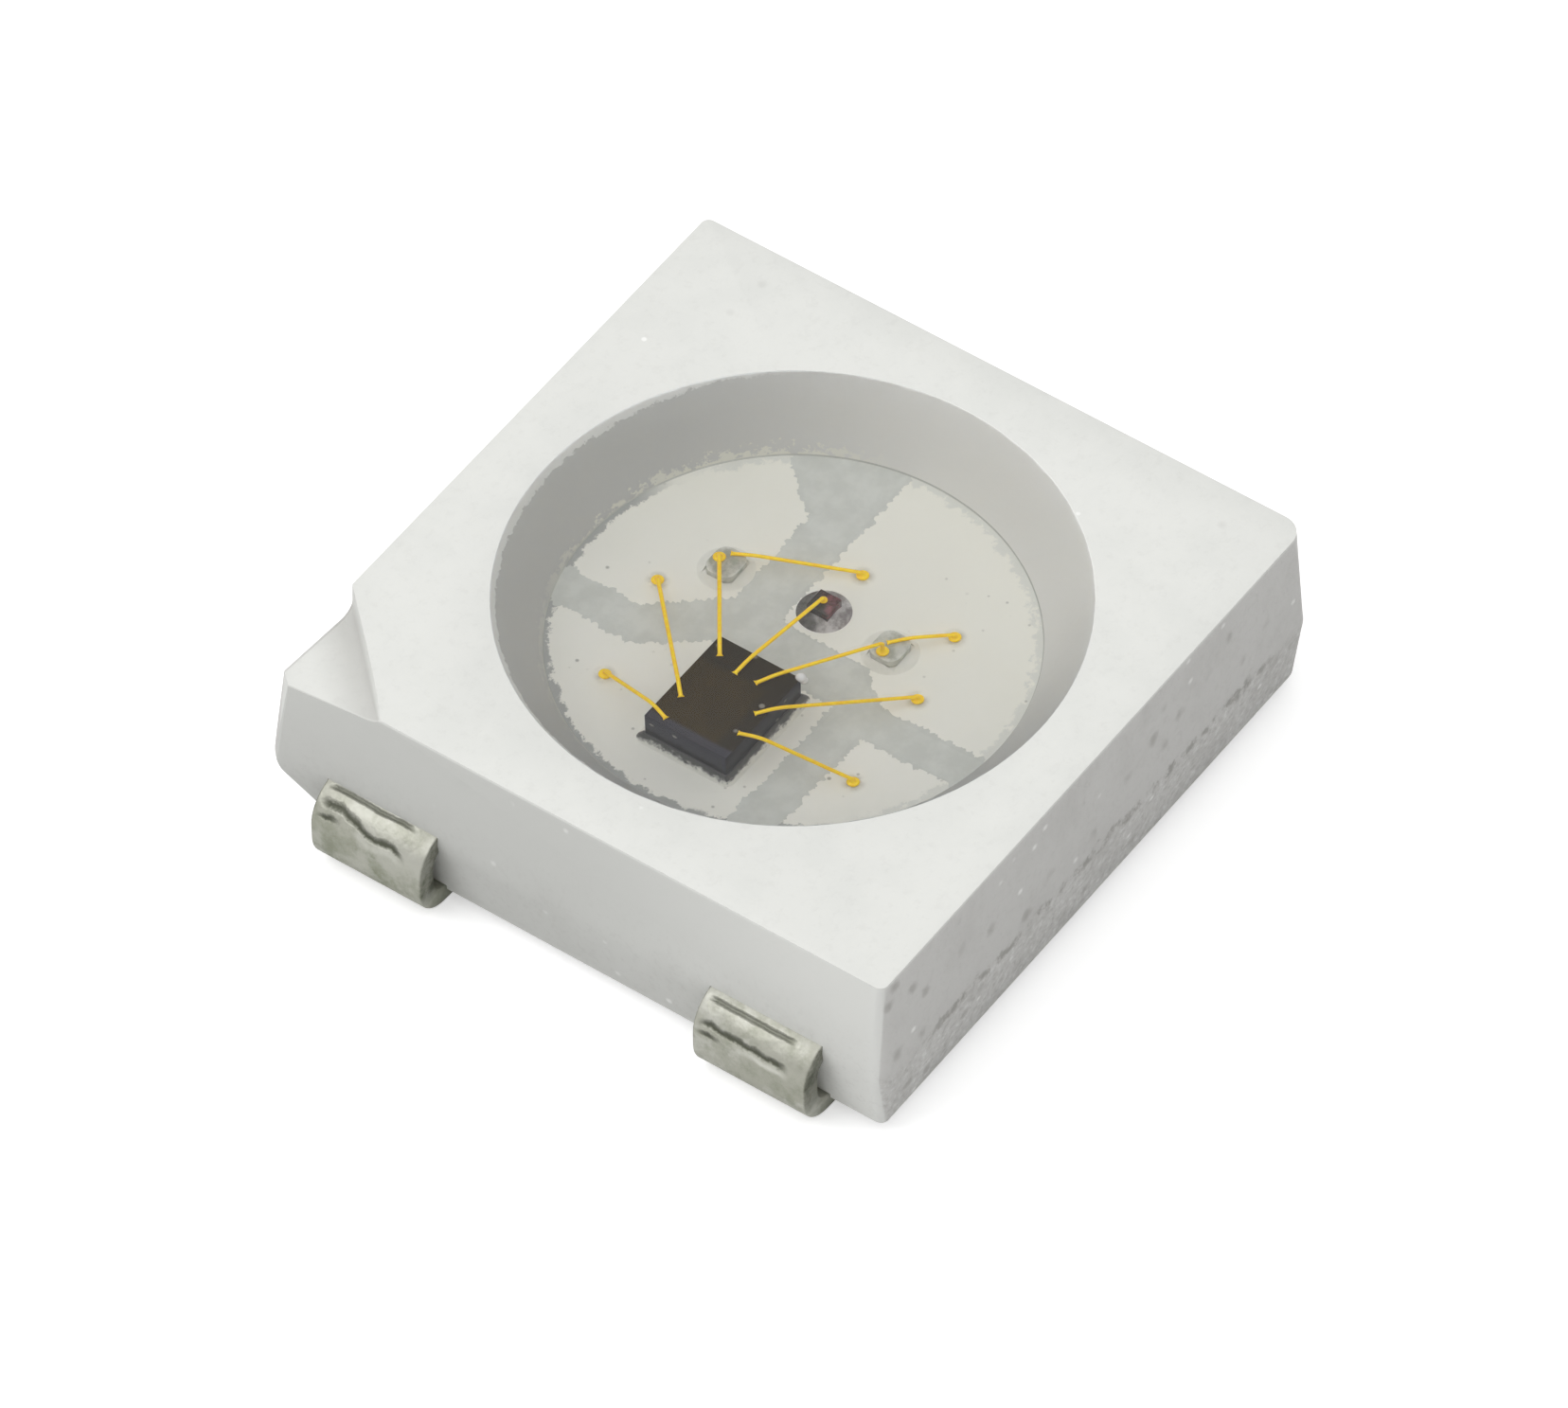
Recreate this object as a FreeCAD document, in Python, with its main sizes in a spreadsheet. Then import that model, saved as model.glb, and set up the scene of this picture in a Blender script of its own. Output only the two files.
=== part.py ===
import FreeCAD, Part
import math
import os

import Sketcher
from FreeCAD import Placement, Rotation, Vector

# Surface-mount colour light: a white moulded housing with a round cup, four bent leads that end as
# pads on the cup floor, a driver chip, three light chips, nine bond wires and a clear filling.
# Millimetres. The origin is the middle of the footprint on the plane that the lead feet stand on.
# X runs across the leads, Y along the sides that carry them, Z up.

DOCUMENT_NAME = "smd_led"
PARTS_FOLDER = "parts"
SHEET = "Sizes"

SIZES = {
    # Housing
    "body_length": 5.00,  # along X at the parting plane
    "body_width": 5.00,  # along Y at the parting plane
    "overall_height": 1.50,  # from the feet to the top face
    "standoff": 0.13,  # from the feet to the underside of the housing
    "top_inset": 0.06,  # how far the draft pulls each side in at the top face
    "bottom_inset": 0.06,  # and at the underside
    "sharp_corner": 0.12,  # corner radius, but at one corner
    "soft_corner": 0.22,  # corner radius at the +X-Y corner
    # Cup
    "cup_rim_radius": 2.00,
    "cup_floor_radius": 1.67,
    # Mark that shows lead one, at the -X+Y corner
    "notch_leg": 0.85,  # length cut from each top edge
    "notch_shallow": 0.03,  # depth at the start of the cut, outside the -X side
    "notch_deep": 0.29,  # depth at its end, outside the +Y side
    "notch_overrun": 0.10,  # how far the cut runs past both sides
    "notch_cove": 0.10,  # radius between its wall and its floor
    # The same corner is cut off, widest at the top, and bevelled below
    "corner_cut_top": 0.09,  # off the point of the corner, along its diagonal
    "corner_cut_low": 0.05,  # the same where the bevel starts
    "bevel_reach": 0.46,  # the same at the underside
    "bevel_height": 0.41,
    "bevel_blend": 0.12,
    # Lead frame
    "lead_level": 0.70,  # from the feet to the cup floor, which is the top of the pads
    "sheet_thickness": 0.15,
    "lead_width": 0.90,
    "lead_offset": 1.55,  # from the X axis to the middle of each lead
    "lead_reach": 2.70,  # from the Y axis to the outer face of each lead
    "bend_radius": 0.28,  # outside of both bends
    "foot_end": 1.80,  # from the Y axis to the inner end of each foot
    "foot_clearance": 0.02,  # between a foot and its pocket
    "pad_reach": 2.10,  # how far the pads run under the cup wall
    "pad_corner": 0.06,
    "gap_width": 0.28,  # plastic between two pads
    "back_gap_x": -0.465,  # middle of the gap that runs to the +Y side
    "front_gap_x": -0.285,  # middle of the gap that runs to the -Y side
    "left_gap_y": -0.70,  # middle of the gap that runs to the -X side
    "right_gap_y": 0.37,  # middle of the gap that runs to the +X side
    "right_gap_width": 0.34,
    "middle_gap_x": -0.095,  # middle of the gap between the two chip pads
    "middle_gap_width": 0.39,
    "dout_bend_y": 1.02,  # where the edges of the pads turn
    "vss_bend_y": 0.87,
    "vss_shoulder_y": 0.49,
    "vdd_shoulder_y": -0.50,
    "vdd_bend_y": -0.78,
    "dout_turn_x": 1.00,
    "dout_step_x": 1.09,
    "dout_step_y": 0.70,
    "dout_edge_x": 1.42,
    "dout_edge_y": 1.02,
    # Driver chip
    "driver_x": -0.815,
    "driver_y": -0.01,
    "driver_length": 0.86,
    "driver_width": 0.66,
    "driver_thickness": 0.37,
    "driver_glue_line": 0.03,
    "driver_squeeze_out": 0.06,
    "driver_glue_height": 0.10,
    # Light chips
    "red_x": 0.345,
    "red_y": -0.01,
    "red_width": 0.17,
    "red_thickness": 0.15,
    "green_x": 0.28,
    "green_y": 0.745,
    "blue_x": 0.30,
    "blue_y": -0.58,
    "crystal_length": 0.26,  # green and blue chip along X
    "crystal_width": 0.23,  # and along Y
    "crystal_thickness": 0.10,
    "light_glue_line": 0.02,
    "red_glue_radius": 0.19,
    "red_glue_height": 0.07,
    "crystal_glue_radius": 0.20,
    "crystal_glue_height": 0.045,
    # Bond wires
    "wire_diameter": 0.030,
    "ball_diameter": 0.090,
    "ball_height": 0.035,
    "wire_rise": 0.10,  # from the carrier to the corner above the ball
    "led_wire_rise": 0.16,  # the same on the blue chip
    "rise_bend": 0.05,
    "knee_back": 0.20,  # from the stitch back to the highest point
    "knee_height": 0.07,  # of the highest point above the stitch
    "tail_length": 0.04,  # wire that lies flat before its end
    "tail_lift": 0.003,
    "stitch_thickness": 0.012,
    "stitch_overhang": 0.012,
    # Ends of the bond wires, from the middle of the chip that each stands on, or of the cup
    "vss_ball_x": -0.95,
    "vss_ball_y": 0.86,
    "vss_stitch_x": -0.375,
    "vss_stitch_y": 0.19,
    "dout_ball_x": -0.07,
    "dout_ball_y": 1.06,
    "dout_stitch_x": -0.165,
    "dout_stitch_y": 0.22,
    "green_drive_ball_x": 0.005,
    "green_drive_ball_y": 0.06,
    "green_drive_stitch_x": 0.275,
    "green_drive_stitch_y": 0.22,
    "green_supply_ball_x": 0.75,
    "green_supply_ball_y": -0.04,
    "green_supply_stitch_x": 0.075,
    "green_supply_stitch_y": 0.015,
    "red_drive_ball_x": 0.005,
    "red_drive_ball_y": 0.01,
    "red_drive_stitch_x": 0.205,
    "red_drive_stitch_y": 0.05,
    "blue_drive_ball_x": -0.075,
    "blue_drive_ball_y": 0.01,
    "blue_drive_stitch_x": 0.215,
    "blue_drive_stitch_y": -0.11,
    "blue_supply_ball_x": 0.65,
    "blue_supply_ball_y": -0.86,
    "blue_supply_stitch_x": 0.005,
    "blue_supply_stitch_y": 0.03,
    "vdd_ball_x": 0.06,
    "vdd_ball_y": -0.97,
    "vdd_stitch_x": -0.005,
    "vdd_stitch_y": -0.26,
    "din_ball_x": -0.78,
    "din_ball_y": -1.04,
    "din_stitch_x": -0.205,
    "din_stitch_y": -0.27,
    # Filling
    "fill_edge_drop": 0.02,  # from the top face to the filling at the rim
    "fill_sag": 0.04,  # how much lower the filling is in the middle
}

# What each wire starts on with its ball, and ends on with its stitch
WIRES = {
    "vss": ("pad", "driver"),
    "dout": ("pad", "driver"),
    "green_drive": ("green", "driver"),
    "green_supply": ("pad", "green"),
    "red_drive": ("red", "driver"),
    "blue_drive": ("blue", "driver"),
    "blue_supply": ("pad", "blue"),
    "vdd": ("pad", "driver"),
    "din": ("pad", "driver"),
}
HIGH_RISE_WIRES = ("blue_drive",)
WIRE_SIDES = 8  # flats that stand for the round of a wire, so that nine wires stay light

doc = FreeCAD.newDocument(DOCUMENT_NAME)
sheet = doc.addObject("Spreadsheet::Sheet", SHEET)
for row, (alias, value) in enumerate(SIZES.items(), start=1):
    sheet.set(f"A{row}", alias)
    sheet.set(f"B{row}", str(value))
    sheet.setAlias(f"B{row}", alias)
doc.recompute()


def size(alias):
    """The expression that reads one cell of the sheet."""
    return f"{SHEET}.{alias}"


# Levels and lengths that follow from the sizes
FLOOR = size("lead_level")
SHEET_BOTTOM = f"({FLOOR} - {size('sheet_thickness')})"
PARTING = f"({FLOOR} - {size('sheet_thickness')} / 2)"
TOP = size("overall_height")
UNDERSIDE = size("standoff")
WIRE_RADIUS = f"({size('wire_diameter')} / 2)"
DRIVER_TOP = f"({FLOOR} + {size('driver_glue_line')} + {size('driver_thickness')})"
RED_TOP = f"({FLOOR} + {size('light_glue_line')} + {size('red_thickness')})"
CRYSTAL_TOP = f"({FLOOR} + {size('light_glue_line')} + {size('crystal_thickness')})"
CARRIERS = {
    "pad": ("0", "0", FLOOR),
    "driver": (size("driver_x"), size("driver_y"), DRIVER_TOP),
    "red": (size("red_x"), size("red_y"), RED_TOP),
    "green": (size("green_x"), size("green_y"), CRYSTAL_TOP),
    "blue": (size("blue_x"), size("blue_y"), CRYSTAL_TOP),
}


def number(holder, expression):
    """What an expression comes to, in millimetres or degrees."""
    value = holder.evalExpression(expression)
    return float(getattr(value, "Value", value))


def new_body(label):
    body = doc.addObject("PartDesign::Body", label)
    body.Label = label
    return body


def new_sketch(body, name, role, offsets=None, turn=None):
    """A sketch on one of the body's own origin planes.

    offsets binds x, y or z of the offset, in the plane's own directions, to expressions, and turn
    is an axis and an angle in the same directions.
    """
    sketch = body.newObject("Sketcher::SketchObject", name)
    plane = next(item for item in body.Origin.OriginFeatures if item.Role == role)
    sketch.AttachmentSupport = (plane, [""])
    sketch.MapMode = "FlatFace"
    if turn:
        sketch.AttachmentOffset = Placement(Vector(0, 0, 0), Rotation(*turn))
    for axis, expression in (offsets or {}).items():
        sketch.setExpression(f"AttachmentOffset.Base.{axis}", expression)
    return sketch


def bind(sketch, name, expression, kind, *places):
    """Add one constraint whose value is an expression on the sheet."""
    constraint = sketch.addConstraint(Sketcher.Constraint(kind, *places, number(sketch, expression)))
    sketch.renameConstraint(constraint, name)
    sketch.setExpression(f"Constraints.{name}", expression)


def pin(sketch, name, geometry, position, x, y):
    """Hold a point of the sketch at x and y from the sketch's origin."""
    for axis, expression, kind in (("x", x, "DistanceX"), ("y", y, "DistanceY")):
        if expression == "0":
            along = -2 if axis == "x" else -1
            sketch.addConstraint(Sketcher.Constraint("PointOnObject", geometry, position, along))
        else:
            bind(sketch, f"{name}_{axis}", expression, kind, -1, 1, geometry, position)


def corner_arc(before, here, after, radius):
    """The arc that rounds a corner, with its start and its end."""
    back = (before - here).normalize()
    ahead = (after - here).normalize()
    half = back.getAngle(ahead) / 2
    start = here + back * (radius / math.tan(half))
    end = here + ahead * (radius / math.tan(half))
    inward = (back + ahead).normalize()
    middle = here + inward * (radius / math.sin(half) - radius)
    return Part.Arc(start, middle, end), start, end


def draw(sketch, corners, closed=True):
    """Draw straight runs through corners, each (x, y) or (x, y, radius) as expressions."""
    count = len(corners)
    places = [Vector(number(sketch, c[0]), number(sketch, c[1]), 0) for c in corners]
    marks = []
    for index, (x, y, *_) in enumerate(corners):
        mark = sketch.addGeometry(Part.Point(places[index]), True)
        pin(sketch, f"corner{index}", mark, 1, x, y)
        marks.append(mark)
    starts = list(places)
    ends = list(places)
    arcs = {}
    for index, (_, _, *rounding) in enumerate(corners):
        if rounding:
            radius = number(sketch, rounding[0])
            arc, arrive, leave = corner_arc(
                places[index - 1], places[index], places[(index + 1) % count], radius
            )
            arcs[index] = (sketch.addGeometry(arc, False), arrive)
            bind(sketch, f"radius{index}", rounding[0], "Radius", arcs[index][0])
            ends[index] = arrive
            starts[index] = leave
    for index in range(count if closed else count - 1):
        following = (index + 1) % count
        line = sketch.addGeometry(Part.LineSegment(starts[index], ends[following]), False)
        for corner, position in ((index, 1), (following, 2)):
            if corner in arcs:
                arc, arrive = arcs[corner]
                near = arrive if position == 2 else starts[corner]
                gap = sketch.getPoint(arc, 1).distanceToPoint(near)
                other = sketch.getPoint(arc, 2).distanceToPoint(near)
                touch = 1 if gap < other else 2
                sketch.addConstraint(Sketcher.Constraint("Tangent", line, position, arc, touch))
                sketch.addConstraint(Sketcher.Constraint("PointOnObject", marks[corner], 1, line))
            else:
                sketch.addConstraint(
                    Sketcher.Constraint("Coincident", line, position, marks[corner], 1)
                )


def rectangle(length, width, x="0", y="0", radii=None):
    """Corners of a rectangle with its middle at x and y, from -X-Y round by +X-Y."""
    left, right = f"{x} - {length} / 2", f"{x} + {length} / 2"
    low, high = f"{y} - {width} / 2", f"{y} + {width} / 2"
    corners = [(left, low), (right, low), (right, high), (left, high)]
    if radii:
        corners = [(*corner, radius) for corner, radius in zip(corners, radii)]
    return corners


def pad(body, name, sketch, length, down=False, taper=None, pocket=False):
    """Raise a sketch, or cut it with pocket, by length. taper is an angle as an expression."""
    feature = body.newObject("PartDesign::Pocket" if pocket else "PartDesign::Pad", name)
    feature.Profile = sketch
    feature.Reversed = down
    feature.setExpression("Length", length)
    if taper:
        feature.setExpression("TaperAngle", taper)
    return feature


def turn(body, name, sketch, groove=False):
    """Spin a sketch about its own vertical axis, as metal or as a cut."""
    feature = body.newObject("PartDesign::Groove" if groove else "PartDesign::Revolution", name)
    feature.Profile = sketch
    feature.ReferenceAxis = (sketch, ["V_Axis"])
    feature.Angle = 360
    return feature


# Lead frame: four flat pads, cut from one sheet, that each run out through the housing as a lead
def pad_outlines():
    """The outline of each pad, and the signs of X and Y on its side of the frame."""
    reach = size("pad_reach")
    radius = size("pad_corner")
    half_gap = f"{size('gap_width')} / 2"
    half_right = f"{size('right_gap_width')} / 2"
    half_middle = f"{size('middle_gap_width')} / 2"
    dout_left = f"{size('back_gap_x')} + {half_gap}"
    dout_low = f"{size('right_gap_y')} + {half_right}"
    vss_back = f"{size('back_gap_x')} - {half_gap}"
    vss_right = f"{size('middle_gap_x')} - {half_middle}"
    vss_low = f"{size('left_gap_y')} + {half_gap}"
    vdd_left = f"{size('middle_gap_x')} + {half_middle}"
    vdd_high = f"{size('right_gap_y')} - {half_right}"
    vdd_front = f"{size('front_gap_x')} + {half_gap}"
    din_right = f"{size('front_gap_x')} - {half_gap}"
    din_high = f"{size('left_gap_y')} - {half_gap}"
    return {
        "lead_dout": (
            (1, 1),
            (
                (dout_left, reach),
                (dout_left, size("dout_bend_y"), radius),
                (vdd_left, dout_low, radius),
                (size("dout_turn_x"), dout_low, radius),
                (size("dout_step_x"), size("dout_step_y"), radius),
                (size("dout_edge_x"), size("dout_edge_y"), radius),
                (reach, size("dout_edge_y")),
                (reach, reach),
            ),
        ),
        "lead_vss": (
            (-1, 1),
            (
                (f"-{reach}", reach),
                (f"-{reach}", vss_low),
                (vss_right, vss_low, radius),
                (vss_right, size("vss_shoulder_y"), radius),
                (vss_back, size("vss_bend_y"), radius),
                (vss_back, reach),
            ),
        ),
        "lead_vdd": (
            (1, -1),
            (
                (reach, vdd_high),
                (vdd_left, vdd_high, radius),
                (vdd_left, size("vdd_shoulder_y"), radius),
                (vdd_front, size("vdd_bend_y"), radius),
                (vdd_front, f"-{reach}"),
                (reach, f"-{reach}"),
            ),
        ),
        "lead_din": (
            (-1, -1),
            (
                (din_right, din_high, radius),
                (f"-{reach}", din_high),
                (f"-{reach}", f"-{reach}"),
                (din_right, f"-{reach}"),
            ),
        ),
    }


def bent_profile(side):
    """The J of a lead seen along Y: out of the housing, down, and back under it."""
    outer = f"{side} * {size('lead_reach')}"
    inner = f"{side} * ({size('lead_reach')} - {size('sheet_thickness')})"
    start = f"{side} * ({size('pad_reach')} - {size('sheet_thickness')})"
    end = f"{side} * {size('foot_end')}"
    wide = size("bend_radius")
    tight = f"{size('bend_radius')} - {size('sheet_thickness')}"
    return (
        (start, FLOOR),
        (outer, FLOOR, wide),
        (outer, "0", wide),
        (end, "0"),
        (end, size("sheet_thickness")),
        (inner, size("sheet_thickness"), tight),
        (inner, SHEET_BOTTOM, tight),
        (start, SHEET_BOTTOM),
    )


leads = {}
for label, ((side_x, side_y), outline) in pad_outlines().items():
    lead = new_body(label)
    flat = new_sketch(lead, f"{label}_flat", "XY_Plane", {"z": SHEET_BOTTOM})
    draw(flat, outline)
    pad(lead, f"{label}_pad", flat, size("sheet_thickness"))
    middle = f"{-side_y} * {size('lead_offset')}"
    bent = new_sketch(lead, f"{label}_bent", "XZ_Plane", {"z": middle})
    draw(bent, bent_profile(side_x))
    strip = pad(lead, f"{label}_strip", bent, size("lead_width"))
    strip.SideType = "Symmetric"
    leads[label] = lead


# Housing: two drafted halves that meet at the parting plane, cut for the cup, the mark, the corner
# under the mark and the feet
housing_blank = new_body("housing_blank")


def draft(inset, height):
    return f"-atan({inset} / ({height}))"


plan_radii = [size("sharp_corner"), size("soft_corner"), size("sharp_corner"), size("sharp_corner")]
plan = new_sketch(housing_blank, "plan", "XY_Plane", {"z": PARTING})
draw(plan, rectangle(size("body_length"), size("body_width"), radii=plan_radii))
upper_height = f"{TOP} - {PARTING}"
lower_height = f"{PARTING} - {UNDERSIDE}"
upper_draft = draft(size("top_inset"), upper_height)
lower_draft = draft(size("bottom_inset"), lower_height)
pad(housing_blank, "upper_half", plan, upper_height, taper=upper_draft)
pad(housing_blank, "lower_half", plan, lower_height, down=True, taper=lower_draft)

cup_section = new_sketch(housing_blank, "cup_section", "XZ_Plane")
draw(
    cup_section,
    (
        ("0", FLOOR),
        (size("cup_floor_radius"), FLOOR),
        (size("cup_rim_radius"), TOP),
        ("0", TOP),
    ),
)
turn(housing_blank, "cup", cup_section, groove=True)

# The mark and the cut lie across the -X+Y corner, so their sketches stand on a plane that is turned
# by 135 degrees about Z: its x runs out to the corner and its normal from -X to +Y
ACROSS_CORNER = (Vector(0, 1, 0), 135)
half_top_x = f"({size('body_length')} / 2 - {size('top_inset')})"
half_top_y = f"({size('body_width')} / 2 - {size('top_inset')})"
mark_x = f"-({half_top_x} - {size('notch_leg')} / 2)"
mark_y = f"({half_top_y} - {size('notch_leg')} / 2)"
half_run = f"({size('notch_leg')} / sqrt(2) + {size('notch_overrun')})"


def notch_section(name, depth, along):
    """Wall, cove and floor of the mark at one end of the cut.

    Where the cut is shallower than the cove, the wall leans back so that it still starts at the
    diagonal.
    """
    sketch = new_sketch(
        housing_blank,
        name,
        "XZ_Plane",
        {
            "x": f"{mark_x} + {along} * {half_run} / sqrt(2)",
            "y": TOP,
            "z": f"-({mark_y} + {along} * {half_run} / sqrt(2))",
        },
        ACROSS_CORNER,
    )
    out = size("notch_leg")
    lift = f"{size('notch_shallow')} * 2"
    turned = f"max(0; 1 - {depth} / {size('notch_cove')})"
    lean = f"{turned} / sqrt(1 - {turned} ^ 2)"
    draw(
        sketch,
        (
            (f"-{lift} * {lean}", lift),
            (f"{depth} * {lean}", f"-{depth}", f"{size('notch_cove')} * 0.98"),
            (out, f"-{depth}"),
            (out, lift),
        ),
    )
    return sketch


shallow_end = notch_section("notch_shallow_end", size("notch_shallow"), -1)
deep_end = notch_section("notch_deep_end", size("notch_deep"), 1)
notch = housing_blank.newObject("PartDesign::SubtractiveLoft", "notch")
notch.Profile = shallow_end
notch.Sections = [deep_end]
notch.Ruled = True

half_low_x = f"({size('body_length')} / 2 - {size('bottom_inset')})"
half_low_y = f"({size('body_width')} / 2 - {size('bottom_inset')})"
top_point = f"({half_top_x} + {half_top_y}) / sqrt(2)"
parting_point = f"({size('body_length')} + {size('body_width')}) / 2 / sqrt(2)"
low_point = f"({half_low_x} + {half_low_y}) / sqrt(2)"
beyond = f"{parting_point} + {size('corner_cut_top')}"
bevel_top = f"{UNDERSIDE} + {size('bevel_height')}"
corner_section = new_sketch(housing_blank, "corner_section", "XZ_Plane", turn=ACROSS_CORNER)
draw(
    corner_section,
    (
        (f"{low_point} - {size('bevel_reach')}", UNDERSIDE),
        (f"{parting_point} - {size('corner_cut_low')}", bevel_top, size("bevel_blend")),
        (f"{top_point} - {size('corner_cut_top')}", TOP),
        (beyond, TOP),
        (beyond, UNDERSIDE),
    ),
)
cut_corner = pad(
    housing_blank, "cut_corner", corner_section, f"4 * {size('bevel_reach')}", pocket=True
)
cut_corner.SideType = "Symmetric"

pocket_length = f"({half_low_x} - {size('foot_end')} + {size('foot_clearance')}) * 2"
pocket_width = f"({size('lead_width')} + 2 * {size('foot_clearance')})"
pocket_depth = f"{size('sheet_thickness')} + {size('foot_clearance')} - {UNDERSIDE}"
for name, side_y in (("back", 1), ("front", -1)):
    outline = new_sketch(housing_blank, f"foot_pocket_{name}_outline", "XY_Plane", {"z": UNDERSIDE})
    draw(
        outline,
        rectangle(pocket_length, pocket_width, half_low_x, f"{side_y} * {size('lead_offset')}"),
    )
    pocket = pad(
        housing_blank, f"foot_pocket_{name}", outline, pocket_depth, down=True, pocket=True
    )
    doc.recompute()
    mirrored = housing_blank.newObject("PartDesign::Mirrored", f"foot_pocket_{name}_opposite")
    mirrored.Originals = [pocket]
    plane = next(p for p in housing_blank.Origin.OriginFeatures if p.Role == "YZ_Plane")
    mirrored.MirrorPlane = (plane, [""])
    housing_blank.Tip = mirrored

lead_frame = doc.addObject("Part::Compound", "lead_frame")
lead_frame.Links = list(leads.values())
housing = doc.addObject("Part::Cut", "housing")
housing.Base = housing_blank
housing.Tool = lead_frame


# Chips and the glue that holds them. The glue comes up round the foot of each chip
def block(label, corners, bottom, height):
    body = new_body(label)
    outline = new_sketch(body, f"{label}_outline", "XY_Plane", {"z": bottom})
    draw(outline, corners)
    pad(body, f"{label}_block", outline, height)
    return body


def glue_recess(body, corners, line, height):
    """The place of the chip in its glue."""
    outline = new_sketch(body, f"{body.Name}_recess_outline", "XY_Plane", {"z": f"{FLOOR} + {line}"})
    draw(outline, corners)
    pad(body, f"{body.Name}_recess", outline, height, down=True, pocket=True)


driver_corners = rectangle(
    size("driver_length"), size("driver_width"), size("driver_x"), size("driver_y")
)
driver_bottom = f"{FLOOR} + {size('driver_glue_line')}"
driver_chip = block("driver_chip", driver_corners, driver_bottom, size("driver_thickness"))
driver_glue = new_body("driver_chip_glue")
glue_outline = new_sketch(driver_glue, "driver_glue_outline", "XY_Plane", {"z": FLOOR})
spread = size("driver_squeeze_out")
draw(
    glue_outline,
    rectangle(
        f"({size('driver_length')} + 2 * {spread})",
        f"({size('driver_width')} + 2 * {spread})",
        size("driver_x"),
        size("driver_y"),
        [spread] * 4,
    ),
)
glue_draft = f"-atan({spread} * 0.8 / {size('driver_glue_height')})"
pad(driver_glue, "driver_glue_bed", glue_outline, size("driver_glue_height"), taper=glue_draft)
glue_recess(driver_glue, driver_corners, size("driver_glue_line"), size("driver_glue_height"))

light_chips = {}
for name, length, width, thickness, glue_radius, glue_height in (
    ("red", "red_width", "red_width", "red_thickness", "red_glue_radius", "red_glue_height"),
    (
        "green",
        "crystal_length",
        "crystal_width",
        "crystal_thickness",
        "crystal_glue_radius",
        "crystal_glue_height",
    ),
    (
        "blue",
        "crystal_length",
        "crystal_width",
        "crystal_thickness",
        "crystal_glue_radius",
        "crystal_glue_height",
    ),
):
    x, y = size(f"{name}_x"), size(f"{name}_y")
    corners = rectangle(size(length), size(width), x, y)
    chip_bottom = f"{FLOOR} + {size('light_glue_line')}"
    light_chips[f"{name}_chip"] = block(f"{name}_chip", corners, chip_bottom, size(thickness))
    glue = new_body(f"{name}_chip_glue")
    mound = new_sketch(
        glue, f"{name}_glue_section", "XZ_Plane", {"x": x, "y": FLOOR, "z": f"-({y})"}
    )
    shoulder = f"({size(glue_radius)} + {size(length)} / 2) / 2"
    draw(
        mound,
        (
            ("0", "0"),
            (size(glue_radius), "0"),
            (shoulder, f"{size(glue_height)} * 0.55"),
            (f"{size(length)} * 0.55", size(glue_height)),
            ("0", size(glue_height)),
        ),
    )
    turn(glue, f"{name}_glue_mound", mound)
    glue_recess(glue, corners, size("light_glue_line"), size(glue_height))
    light_chips[f"{name}_chip_glue"] = glue


# Bond wires. Each stands in its own frame: origin under the ball, x towards the stitch, z up
def place(end, carrier):
    """Where an end of a wire is, as expressions for X, Y and Z."""
    base_x, base_y, base_z = CARRIERS[carrier]
    return f"({base_x} + {size(f'{end}_x')})", f"({base_y} + {size(f'{end}_y')})", base_z


def ring(radius):
    """Corners of the many-sided outline that stands for a round wire or ball."""
    step = 360 / WIRE_SIDES
    corners = []
    for index in range(WIRE_SIDES):
        angle = f"{(index + 0.5) * step} deg"
        corners.append((f"{radius} * cos({angle})", f"{radius} * sin({angle})"))
    return corners


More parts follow.
